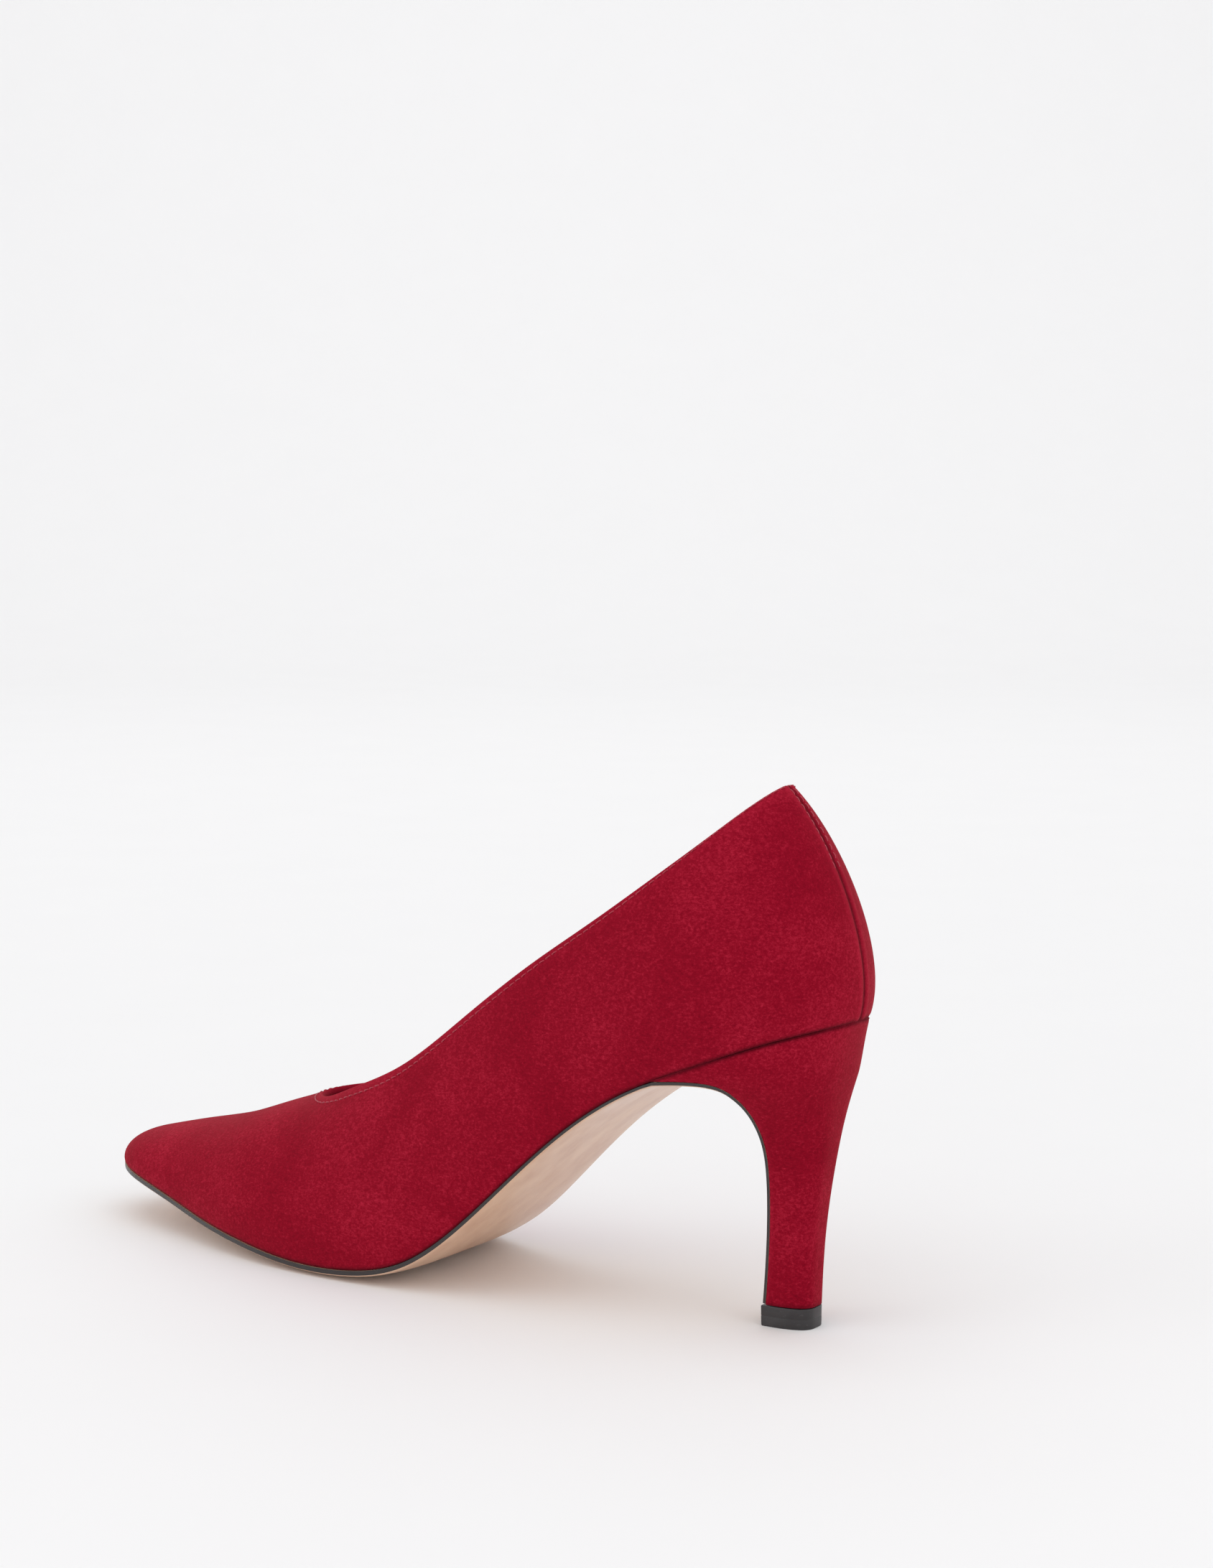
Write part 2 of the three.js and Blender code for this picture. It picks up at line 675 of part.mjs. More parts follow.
// The sections of the heel are closed rings; their halves face each other across the heel.
function heelCore(depth) {
  const shell = new Shell();
  const rows = levels.map((t) => turns.map((turn) => shell.point(heelInside(turn, t, depth))));
  const half = HEEL_TURNS / 2;
  for (let i = 0; i < HEEL_LEVELS; i++) {
    shell.strip(rows[i], rows[i + 1]);
    const front = (row) => [row.at(-1), row[0]];
    shell.strip(front(rows[i]), front(rows[i + 1]));
  }
  const cap = (row, flipped) => {
    const outer = row.slice(0, half + 1);
    const inner = row.slice(half).reverse();
    shell.strip(outer, inner, flipped);
  };
  cap(rows[0], true);
  cap(rows.at(-1), false);
  return shell.geometry();
}

function heelSkin(depth, thickness) {
  const shell = new Shell();
  const grid = (d) =>
    levels.map((t) => turns.map((turn) => shell.point(heelInside(turn, t, d))));
  const outer = grid(depth);
  const inner = grid(depth + thickness);
  for (let i = 0; i < HEEL_LEVELS; i++) {
    shell.strip(outer[i], outer[i + 1]);
    shell.strip(inner[i], inner[i + 1], true);
    shell.strip([inner[i][0], outer[i][0]], [inner[i + 1][0], outer[i + 1][0]]);
    shell.strip([outer[i].at(-1), inner[i].at(-1)], [outer[i + 1].at(-1), inner[i + 1].at(-1)]);
  }
  shell.strip(inner[0], outer[0]);
  shell.strip(outer.at(-1), inner.at(-1));
  return shell.geometry();
}

// Where the outsole is shaped, across its width.
const ACROSS = [0, 0.07, 0.25, 0.5, 0.75, 0.93, 1];

// ---- Outsole: forepart and waist under the seat, then a flap down the breast ----
function outsoleRing(points, normal, thickness, crown) {
  const near = points.map((p) => p.clone().addScaledVector(normal, GAP));
  const far = points.map((p, i) => {
    const deep = thickness + crown * (1 - (2 * ACROSS[i] - 1) ** 4);
    const q = p.clone().addScaledVector(normal, GAP + deep);
    return q.setZ(Math.max(q.z, 0));
  });
  return [...near, ...far.reverse()];
}

function outsoleShape() {
  const down = new THREE.Vector3(0, 0, -1);
  const rings = angles(SEAT_END + 0.04, Math.PI).reverse().map((angle) => {
    const [outer, inner] = [LATERAL, MEDIAL].map((side) => feather(side, angle));
    const points = ACROSS.map((s) => {
      const p = outer.clone().lerp(inner, s);
      return p.setZ(seatZ(p.x, p.y));
    });
    const full = smooth(outer.y - inner.y, 0, BALL_WIDTH * 0.6);
    const waist = smooth(outer.x, BREAST_TOP, along(0.45));
    return outsoleRing(points, down, mix(FLAP, OUTSOLE, waist), OUTSOLE_CROWN * full * waist);
  });
  for (const t of [1, 0.985, ...levels.slice(1, -1).reverse(), 0.004]) {
    const [outer, inner] = [heelFace(0, t), heelFace(1, t)];
    const up = heelFace(0, t + 0.004).sub(heelFace(0, t - 0.004));
    const normal = new THREE.Vector3(up.z, 0, -up.x).normalize();
    const points = ACROSS.map((s) => outer.clone().lerp(inner, s));
    rings.push(outsoleRing(points, normal, FLAP, 0));
  }
  return ringSolid(rings, false, true);
}

// ---- Top piece, pin and tube ----
const CORE_X = TIP_BACK + TIP_LENGTH * 0.4;

function topPieceShape() {
  const outlineAt = (t, grow) =>
    turns.map((turn) => {
      const p = heelFace(turn, 0);
      return new THREE.Vector3(
        CORE_X + (p.x - CORE_X) * grow,
        p.y * grow,
        t,
      );
    });
  const front = FLAP + GAP;
  const section = (z, grow) => {
    const row = outlineAt(z, grow);
    row[0].x += front;
    row.at(-1).x += front;
    return row;
  };
  const shell = new Shell();
  const base = section(0, 0.985).map((p) => shell.point(p));
  const top = section(TIP_HEIGHT, 1).map((p) => shell.point(p));
  shell.strip(base, top);
  shell.strip([base.at(-1), base[0]], [top.at(-1), top[0]]);
  const half = HEEL_TURNS / 2;
  shell.strip(base.slice(0, half + 1), base.slice(half).reverse(), true);
  shell.strip(top.slice(0, half + 1), top.slice(half).reverse());
  return shell.geometry();
}

const PIN_DEPTH = 2.6; // how far the pin is set into the top piece
const PIN_LENGTH = 20;
const pinShape = turned([
  [0, TIP_HEIGHT - PIN_DEPTH],
  [TIP_PIN_RADIUS, TIP_HEIGHT - PIN_DEPTH],
  [TIP_PIN_RADIUS, TIP_HEIGHT + PIN_LENGTH - 1],
  [TIP_PIN_RADIUS * 0.5, TIP_HEIGHT + PIN_LENGTH],
  [0, TIP_HEIGHT + PIN_LENGTH],
]).translate(CORE_X, 0, 0);

const tubeInner = TUBE_OUTER_RADIUS - TUBE_WALL;
const tubeTop = HEEL_BOTTOM + 0.4 + TUBE_LENGTH;
const tubeShape = turned([
  [tubeInner, HEEL_BOTTOM + 0.4],
  [TUBE_OUTER_RADIUS, HEEL_BOTTOM + 0.4],
  [TUBE_OUTER_RADIUS, tubeTop],
  [tubeInner, tubeTop],
  [tubeInner, HEEL_BOTTOM + 0.4],
]).translate(CORE_X, 0, 0);

const drill = (radius, bottom, top) =>
  turned([[0, bottom], [radius, bottom], [radius, top], [0, top]]);

// ---- Nails, screw and rivets, all driven square to the seat ----
const NAILS = [[12, 0], [16, 8], [16, -8], [26, 8.5], [26, -8.5]];
const SCREW = [22.5, 0];
const RIVETS = [[34, 0], [edgeX(stationNear(along(0.46))), 0]];
const HEAD_BASE = BOARD_TOP + 0.1;
const nailProfile = (radius, headRadius, length) => [
  [0, -length],
  [radius, -length + 2 * radius],
  [radius, 0],
  [headRadius, 0],
  [headRadius, HEAD_HEIGHT * 0.6],
  [headRadius * 0.6, HEAD_HEIGHT],
  [0, HEAD_HEIGHT],
];
const nailShape = turned(nailProfile(NAIL_RADIUS, 2 * NAIL_RADIUS, NAIL_LENGTH), 10);
const screwShape = turned(nailProfile(SCREW_RADIUS, 1.9 * SCREW_RADIUS, SCREW_LENGTH), 12);
const RIVET_RADIUS = 1.4;
const rivetShape = turned(
  [
    [0, -BOARD_TOP],
    [RIVET_RADIUS, -BOARD_TOP],
    [RIVET_RADIUS, 0],
    [2.6, 0],
    [2.6, HEAD_HEIGHT * 0.6],
    [1.8, HEAD_HEIGHT],
    [0, HEAD_HEIGHT],
  ],
  12,
);
const hole = (radius, length, [x, y]) =>
  onSeat(drill(radius + GAP / 2, -length, 2), x, y, HEAD_BASE);
const nailHoles = NAILS.map((at) => hole(NAIL_RADIUS, NAIL_LENGTH + 0.4, at));
const screwHole = hole(SCREW_RADIUS, SCREW_LENGTH + 0.4, SCREW);
const rivetHoles = RIVETS.map((at) => hole(RIVET_RADIUS, BOARD_TOP + 2, at));

// ---- Boards, shank, filler, cushions and sock ----
const BOARD_JOIN = stationNear(along(0.5));
const SHANK_BACK = stationNear(18);
const SHANK_FRONT = BOARD_JOIN;
const SHANK_BOTTOM = BOARD_BOTTOM - GAP - SHANK;

const boardRear = plate({
  from: 0,
  to: BOARD_JOIN - JOINT,
  depth: SUEDE,
  lower: BOARD_BOTTOM,
  upper: BOARD_TOP,
});
const boardFront = plate({
  from: BOARD_JOIN + JOINT,
  to: Math.PI,
  depth: SUEDE,
  lower: BOARD_BOTTOM,
  upper: BOARD_TOP,
});
const shankPlate = plate({
  from: SHANK_BACK,
  to: SHANK_FRONT - JOINT,
  margin: LASTING_MARGIN + 1,
  lower: SHANK_BOTTOM,
  upper: SHANK_BOTTOM + SHANK,
  width: SHANK_WIDTH,
});
const fillerPlate = plate({
  from: SHANK_FRONT + JOINT,
  to: stationNear(LENGTH - 22),
  margin: LASTING_MARGIN + 1.5,
  lower: 0,
  upper: SUEDE - 0.1,
});
// The sock stops where the lining comes down to it over the toes.
const sockEnd = STATIONS.filter((a) => {
  const room = crestLine(edgeX(a)) - seatLine(edgeX(a));
  return room > SOCK_BOTTOM + SOCK + LINING_DEPTH + LINING + 3 * GAP;
}).at(-1);
const footbed = (from, to, lower, thickness) =>
  plate({ from, to, depth: LINING_DEPTH + LINING, lower, upper: lower + thickness });

// ---- The assembly ----
const FINISH = {
  suede: { color: "#8f1228", roughness: 0.95, metalness: 0 },
  lining: { color: "#6d1523", roughness: 0.6, metalness: 0 },
  fibre: { color: "#b8a283", roughness: 0.9, metalness: 0 },
  tape: { color: "#e8e2d6", roughness: 0.9, metalness: 0 },
  soleLeather: { color: "#e0bd9c", roughness: 0.45, metalness: 0 },
  foam: { color: "#d9d4c7", roughness: 1, metalness: 0 },
  steel: { color: "#9aa0a6", roughness: 0.35, metalness: 1 },
  plastic: { color: "#cfc8b8", roughness: 0.5, metalness: 0 },
  tip: { color: "#343233", roughness: 0.4, metalness: 0 },
};

const shoe = new THREE.Group();
function add(name, geometry, finish) {
  const mesh = new THREE.Mesh(geometry, new THREE.MeshStandardMaterial(FINISH[finish]));
  mesh.name = name;
  shoe.add(mesh);
}

add("suede_upper", suedeUpper, "suede");
add("vamp_lining", vampLining, "lining");
add("quarter_lining", quarterLining, "lining");
add("toe_puff", toePuff, "fibre");
add("heel_counter", heelCounter, "fibre");
add("topline_tape", toplineTape, "tape");
add("back_seam_tape", backSeamTape, "tape");
add("insole_shank_board", cut(boardRear, [...nailHoles, screwHole, ...rivetHoles]), "fibre");
add("insole_forepart", boardFront, "fibre");
add("steel_shank", cut(shankPlate, [screwHole, ...rivetHoles]), "steel");
add("bottom_filler", fillerPlate, "fibre");
add("heel_cushion", footbed(0, stationNear(along(0.3)), CUSHION_BOTTOM, CUSHION), "foam");
const [ballFrom, ballTo] = [stationNear(along(0.56)), stationNear(along(0.84))];
add("forefoot_cushion", footbed(ballFrom, ballTo, CUSHION_BOTTOM, CUSHION), "foam");
add("sock_lining", footbed(0, sockEnd, SOCK_BOTTOM, SOCK), "lining");
add("outsole", outsoleShape(), "soleLeather");
const bore = drill(TUBE_OUTER_RADIUS + GAP, -1, tubeTop + GAP).translate(CORE_X, 0, 0);
add("heel_block", cut(heelCore(HEEL_COVER + GAP), [bore, ...nailHoles, screwHole]), "plastic");
add("heel_cover", heelSkin(0, HEEL_COVER), "suede");
add("heel_dowel_tube", tubeShape, "steel");
const pinHole = drill(TIP_PIN_RADIUS + GAP / 2, TIP_HEIGHT - PIN_DEPTH - GAP / 2, TIP_HEIGHT + 1);
add("top_piece", cut(topPieceShape(), [pinHole.translate(CORE_X, 0, 0)]), "tip");
add("top_piece_pin", pinShape, "steel");
add("heel_screw", onSeat(screwShape, ...SCREW, HEAD_BASE), "steel");
NAILS.forEach(([x, y], i) => {
  add(`heel_nail_${i + 1}`, onSeat(nailShape, x, y, HEAD_BASE), "steel");
});
add("shank_rivet_rear", onSeat(rivetShape, ...RIVETS[0], HEAD_BASE), "steel");
add("shank_rivet_front", onSeat(rivetShape, ...RIVETS[1], HEAD_BASE), "steel");

// The origin is the middle of the shoe's footprint, on the ground.
const bounds = new THREE.Box3().setFromObject(shoe, true);
shoe.position.set(
  -(bounds.min.x + bounds.max.x) / 2,
  -(bounds.min.y + bounds.max.y) / 2,
  -bounds.min.z,
);

export default shoe;
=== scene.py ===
"""A pointed high heel pump: suede upper, covered heel, leather sole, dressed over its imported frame.

Shapes are worked out in shoe millimetres: x from the back of the heel seat to the toe tip,
y to the outer side of the foot, z up from the ground. Shoe.place() turns them into the row
frame, in metres.
"""

import json
import logging
import math
from dataclasses import dataclass, field
from enum import Enum
from typing import Sequence

import bmesh
import bpy
import numpy as np
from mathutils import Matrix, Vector

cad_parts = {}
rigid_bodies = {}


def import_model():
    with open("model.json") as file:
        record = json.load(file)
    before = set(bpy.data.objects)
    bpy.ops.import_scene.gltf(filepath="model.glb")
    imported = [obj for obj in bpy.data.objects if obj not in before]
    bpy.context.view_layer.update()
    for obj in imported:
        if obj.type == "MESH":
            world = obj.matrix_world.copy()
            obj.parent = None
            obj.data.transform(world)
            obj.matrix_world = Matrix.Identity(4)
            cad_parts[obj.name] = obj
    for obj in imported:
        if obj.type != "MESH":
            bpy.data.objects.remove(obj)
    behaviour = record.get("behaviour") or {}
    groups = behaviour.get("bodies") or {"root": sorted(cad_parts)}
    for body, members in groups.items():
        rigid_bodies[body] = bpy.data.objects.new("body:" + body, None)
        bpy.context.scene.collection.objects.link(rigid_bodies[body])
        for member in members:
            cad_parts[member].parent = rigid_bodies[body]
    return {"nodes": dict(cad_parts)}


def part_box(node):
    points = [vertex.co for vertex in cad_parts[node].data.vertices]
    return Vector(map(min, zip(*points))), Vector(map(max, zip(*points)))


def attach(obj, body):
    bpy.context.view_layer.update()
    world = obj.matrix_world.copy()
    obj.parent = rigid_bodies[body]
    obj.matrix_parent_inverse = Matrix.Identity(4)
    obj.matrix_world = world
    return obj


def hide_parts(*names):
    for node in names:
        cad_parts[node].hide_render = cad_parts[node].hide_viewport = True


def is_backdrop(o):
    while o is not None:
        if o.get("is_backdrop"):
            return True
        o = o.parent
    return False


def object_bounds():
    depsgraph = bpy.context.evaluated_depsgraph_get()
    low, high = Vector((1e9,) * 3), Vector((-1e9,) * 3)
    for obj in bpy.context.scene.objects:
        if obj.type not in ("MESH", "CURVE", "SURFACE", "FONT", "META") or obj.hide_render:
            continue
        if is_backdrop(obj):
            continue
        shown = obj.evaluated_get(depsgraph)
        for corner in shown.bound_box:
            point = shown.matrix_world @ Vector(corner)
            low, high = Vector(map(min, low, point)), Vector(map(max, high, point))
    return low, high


LOG = logging.getLogger("pump")
MM = 0.001
Grid = np.ndarray
Colour = tuple[float, float, float]
Socket = bpy.types.NodeSocket
Tree = bpy.types.NodeTree
Node = bpy.types.Node
Piece = bpy.types.Object
Material = bpy.types.Material


class Side(Enum):
    """The two sides of the shoe, as the sign of y."""

    LATERAL = 1
    MEDIAL = -1


# ---- Curves ----
class Curve:
    """A natural cubic spline through points, straight beyond both ends."""

    def __init__(self, points: Sequence[tuple[float, float]]) -> None:
        """Solves the spline.

        Args:
            points: (x, y) knots in rising x.
        """
        self.x = np.array([p[0] for p in points], float)
        self.y = np.array([p[1] for p in points], float)
        n = len(self.x)
        span = np.diff(self.x)
        slope = np.diff(self.y) / span
        system = np.eye(n)
        right = np.zeros(n)
        for i in range(1, n - 1):
            system[i, i - 1 : i + 2] = span[i - 1], 2 * (span[i - 1] + span[i]), span[i]
            right[i] = 6 * (slope[i] - slope[i - 1])
        self.bend = np.linalg.solve(system, right)
        self.first = slope[0] - span[0] * self.bend[1] / 6
        self.last = slope[-1] + span[-1] * self.bend[-2] / 6

    def __call__(self, at: Grid | float) -> Grid:
        """The curve's value.

        Args:
            at: where to read it.

        Returns:
            The value at each place.
        """
        at = np.asarray(at, float)
        i = np.clip(np.searchsorted(self.x, at) - 1, 0, len(self.x) - 2)
        span = self.x[i + 1] - self.x[i]
        a = (self.x[i + 1] - at) / span
        b = 1 - a
        curve = ((a**3 - a) * self.bend[i] + (b**3 - b) * self.bend[i + 1]) * span**2 / 6
        value = a * self.y[i] + b * self.y[i + 1] + curve
        value = np.where(at < self.x[0], self.y[0] + self.first * (at - self.x[0]), value)
        return np.where(at > self.x[-1], self.y[-1] + self.last * (at - self.x[-1]), value)


def smooth(value: Grid | float, low: float, high: float) -> Grid:
    """A soft step from 0 at low to 1 at high."""
    t = np.clip((np.asarray(value, float) - low) / (high - low), 0, 1)
    return t * t * (3 - 2 * t)


def mix(a: Grid | float, b: Grid | float, share: Grid | float) -> Grid:
    """The value a share of the way from a to b."""
    return a + (b - a) * share


def unit(vectors: Grid) -> Grid:
    """Vectors scaled to length one along their last axis."""
    size = np.linalg.norm(vectors, axis=-1, keepdims=True)
    return vectors / np.maximum(size, 1e-12)


def stack(x: Grid, y: Grid, z: Grid) -> Grid:
    """Coordinates joined into points along a new last axis."""
    return np.stack(np.broadcast_arrays(x, y, z), axis=-1)


# ---- The last: the foot-shaped form that the shoe is made over ----
@dataclass
class Last:
    """The outer face of the shoe as a rule: a wall over an outline, closed at a ridge.

    A place on the wall is a turn, an angle round the outline that is positive on the outer
    side and negative on the inner side, and a share, 0 at the feather line and 1 at the ridge.
    """

    length: float = 248.0
    heel_rise: float = 77.8
    toe_spring: float = 13.4
    ball_width: float = 74.0
    crest_height: float = 66.5
    ball_seat: float = 3.0
    throat: float = 0.691
    wall_rise: float = 0.31
    crest_back: float = 32.0
    toe_pole: float = 11.0
    heel_fan: float = 0.86
    fan_round: float = 0.7
    crest_bend: float = 0.39
    arch_lift: float = 0.8

    SEAT = (
        (0, 1, 0), (0.065, 0.94, 0), (0.138, 0.851, 0), (0.224, 0.731, 0), (0.31, 0.538, 0),
        (0.397, 0.28, 0), (0.483, 0.071, 0), (0.56, 0.006, 0), (0.63, 0, 0), (0.71, 0, 0.14),
        (0.8, 0, 0.37), (0.9, 0, 0.72), (1, 0, 1),
    )
    CREST = (
        (0.095, 1.06), (0.194, 1.2), (0.259, 1.23), (0.345, 1.305), (0.431, 1.295),
        (0.517, 1.13), (0.603, 0.84), (0.668, 0.641), (0.741, 0.501), (0.819, 0.357),
        (0.892, 0.24), (0.961, 0.135),
    )
    TOPLINE = (
        (0.06, -0.018), (0.095, 0.11), (0.129, 0.236), (0.194, 0.41), (0.259, 0.48),
        (0.345, 0.506), (0.431, 0.438), (0.517, 0.325), (0.603, 0.143), (0.656, 0.054),
    )
    OUTLINE = (
        0, 0.222, 0.335, 0.372, 0.433, 0.417, 0.267, 0.126, -0.106, -0.25, -0.43, -0.578,
        -0.372, -0.262, -0.315, -0.236,
    )
    LEAN = ((0, 0.353), (0.25, 0.33), (0.5, 0.16), (0.75, 0.28), (1, 0.33))
    CREST_PULL = ((60, 0.5), (200, 0.85))
    ARCH_AT = 0.38
    ARCH_SPREAD = 0.13

    def __post_init__(self) -> None:
        """Builds the curves from the tables."""
        at = self.length
        self.seat_line = Curve(
            [(x * at, self.ball_seat + h * self.heel_rise + t * self.toe_spring)
             for x, h, t in self.SEAT]
        )
        self.crest_line = Curve(
            [(x * at, float(self.seat_line(x * at)) + h * self.crest_height)
             for x, h in self.CREST]
        )
        self.throat_x = self.throat * at
        drops = [*self.TOPLINE, (self.throat, 0)]
        self.top_line = Curve(
            [(x * at, float(self.crest_line(x * at)) - d * self.crest_height)
             for x, d in drops]
        )
        step = 2 * math.pi / len(self.OUTLINE)
        knots = range(-3, len(self.OUTLINE) + 4)
        self.outline = Curve(
            [(k * step, self.OUTLINE[k % len(self.OUTLINE)] * self.ball_width) for k in knots]
        )
        self.lean_at = Curve(self.LEAN)
        self.toe_y = float(self.outline(math.pi))
        self.pole_x = self.length - self.toe_pole

    def edge_x(self, turn: Grid | float) -> Grid:
        """How far along the shoe a turn is."""
        return self.length * (1 - np.cos(turn)) / 2

    def angle_at(self, x: Grid | float) -> Grid:
        """The angle whose place is x."""
        return np.arccos(np.clip(1 - 2 * np.asarray(x, float) / self.length, -1, 1))

    def seat_z(self, x: Grid, y: Grid) -> Grid:
        """Height of the last's bottom; the inner side of the waist is lifted."""
        angle = self.angle_at(x)
        outer = self.outline(angle)
        inner = self.outline(2 * math.pi - angle)
        width = np.maximum(outer - inner, 1e-6)
        share = np.where(outer - inner < 1e-3, 0.5, np.clip((outer - y) / width, 0, 1))
        swell = np.exp(-(((x / self.length - self.ARCH_AT) / self.ARCH_SPREAD) ** 2))
        return self.seat_line(x) + self.arch_lift * swell * share

    def feather(self, turn: Grid) -> Grid:
        """Points of the feather line, where the wall meets the bottom."""
        x = self.edge_x(turn)
        y = self.outline(np.mod(turn, 2 * math.pi))
        return stack(x, y, self.seat_z(x, y))

    def outwards(self, turn: Grid) -> Grid:
        """Outward directions of the outline, in plan."""
        d = 1e-4
        around = np.mod(turn, 2 * math.pi)
        dx = self.length * np.sin(around) / 2
        dy = (self.outline(around + d) - self.outline(around - d)) / (2 * d)
        return unit(stack(-dy, dx, 0 * dx))

    def crest_point(self, foot_x: Grid) -> Grid:
        """Points of the ridge above places on the feather line."""
        share = np.clip(foot_x / self.pole_x, 0, 1)
        x = self.crest_back + (self.pole_x - self.crest_back) * share
        bend = np.clip((x / self.length - self.crest_bend) / (1 - self.crest_bend), 0, 1)
        return stack(x, self.toe_y * bend**1.5, self.crest_line(x))

    def handles(self, turn: Grid) -> tuple[Grid, Grid, Grid, Grid]:
        """The four points of the wall's Bezier curve at each turn.

        Args:
            turn: where round the outline.

        Returns:
            The foot, its handle, the ridge's handle and the ridge point.
        """
        turn = np.where(turn > math.pi, turn - 2 * math.pi, turn)
        turn = np.where(turn < -math.pi, turn + 2 * math.pi, turn)
        side = np.where(turn < 0, -1.0, 1.0)
        angle = np.abs(turn)
        foot = self.feather(turn)
        crest = self.crest_point(foot[..., 0])
        height = crest[..., 2] - foot[..., 2]
        reach = np.hypot(*(crest - foot)[..., :2].T).T
        slope = self.crest_line(crest[..., 0] + 0.5) - self.crest_line(crest[..., 0] - 0.5)
        fan = np.arctan2(foot[..., 1] - self.toe_y, foot[..., 0] - self.pole_x)
        heading = np.where(foot[..., 0] > self.pole_x, fan, side * math.pi / 2)
        rise = np.cos(heading) * slope
        turning = side * (math.pi / 2) * (2 - (angle / self.heel_fan) ** self.fan_round)
        heading = np.where(angle < self.heel_fan, turning, heading)
        rise = np.where(angle < self.heel_fan, 0, rise)
        lean = self.lean_at(angle / math.pi)[..., None] * self.outwards(turn)
        lean[..., 2] = 1
        low = foot + lean * (self.wall_rise * height)[..., None]
        (near, pull_near), (far, pull_far) = self.CREST_PULL
        along = np.clip((foot[..., 0] - near) / (far - near), 0, 1)
        pull = mix(pull_near, pull_far, along) * reach
        way = stack(np.cos(heading), np.sin(heading), rise)
        return foot, low, crest + way * pull[..., None], crest

    def wall(self, turn: Grid, share: Grid) -> Grid:
        """Points of the outer face."""
        s = np.asarray(share, float)[..., None]
        a, b, c, d = self.handles(turn)
        return (1 - s) ** 3 * a + 3 * (1 - s) ** 2 * s * b + 3 * (1 - s) * s**2 * c + s**3 * d

    def normal(self, turn: Grid, share: Grid) -> Grid:
        """Outward normals of the outer face."""
        d = 1e-3
        share = np.asarray(share, float)
        s = np.clip(share, d, 1 - 2 * d)
        up = self.wall(turn, s + d) - self.wall(turn, s - d)
        around = self.wall(turn + d, s) - self.wall(turn - d, s)
        found = unit(np.cross(up, around))
        x = self.crest_point(self.edge_x(turn))[..., 0]
        slope = self.crest_line(x + 0.5) - self.crest_line(x - 0.5)
        ridge = unit(stack(-slope, 0 * slope, 1 + 0 * slope))
        return np.where((share > 0.999)[..., None], ridge, found)

    def under(self, turn: Grid, share: Grid, depth: Grid | float) -> Grid:
        """Points under the outer face by a depth."""
        depth = np.asarray(depth, float)
        return self.wall(turn, share) - self.normal(turn, share) * depth[..., None]

    def throat_angle(self, lower: float = 0.0) -> float:
        """The angle of the column whose ridge point is the throat, moved forward by lower."""
        x = self.throat_x + lower
        foot = (x - self.crest_back) / (1 - self.crest_back / self.pole_x)
        return float(self.angle_at(foot))

    def rim_height(self, x: Grid, lower: float = 0.0) -> Grid:
        """Height of the topline at x, for an edge that lies lower down the wall by lower."""
        back = np.minimum(x, self.throat_x + lower)
        drop = self.crest_line(back - lower) - self.top_line(back - lower)
        fade = np.clip((self.throat_x + lower - x) / 20, 0, 1)
        return self.crest_line(back) - drop - lower * fade

    def top_share(self, turn: Grid, lower: float = 0.0) -> Grid:
        """The share of the wall where it reaches the topline, or an edge lower down it."""
        turn = np.asarray(turn, float)
        shares = np.linspace(0.3, 1, 141)
        points = self.wall(turn[:, None] + 0 * shares, shares[None, :] + 0 * turn[:, None])
        above = points[..., 2] - self.rim_height(points[..., 0], lower)
        first = np.argmax(above >= 0, axis=1)
        first = np.where((above >= 0).any(axis=1), first, len(shares) - 1)
        low = shares[np.maximum(first - 1, 0)]
        high = shares[first]
        for _ in range(24):
            middle = (low + high) / 2
            p = self.wall(turn, middle)
            short = p[:, 2] < self.rim_height(p[:, 0], lower)
            low = np.where(short, middle, low)
            high = np.where(short, high, middle)
        found = (low + high) / 2
        return np.where(np.abs(turn) >= self.throat_angle(lower) - 1e-9, 1.0, found)

    def share_clearing(self, turn: Grid, height: float, depth: float) -> Grid:
        """The lowest share at which the face a depth under the wall clears the bottom."""
        shares = np.linspace(0.001, 0.9, 240)
        turn = np.asarray(turn, float)
        p = self.under(turn[:, None] + 0 * shares, shares[None, :] + 0 * turn[:, None], depth)
        clear = p[..., 2] - self.seat_z(p[..., 0], p[..., 1]) >= height
        return shares[np.argmax(clear, axis=1)]


# ---- Meshes ----
def linked(name: str, data: bpy.types.ID) -> Piece:
    """A new object of some data, put in the scene."""
    made = bpy.data.objects.new(name, data)
    bpy.context.scene.collection.objects.link(made)
    return made


def lid(ring: Grid) -> Grid:
    """Strips that close a ring, from each point of one half to its fellow in the other."""
    half = len(ring) // 2
    return np.stack([ring[:half], ring[::-1][:half]], axis=1)


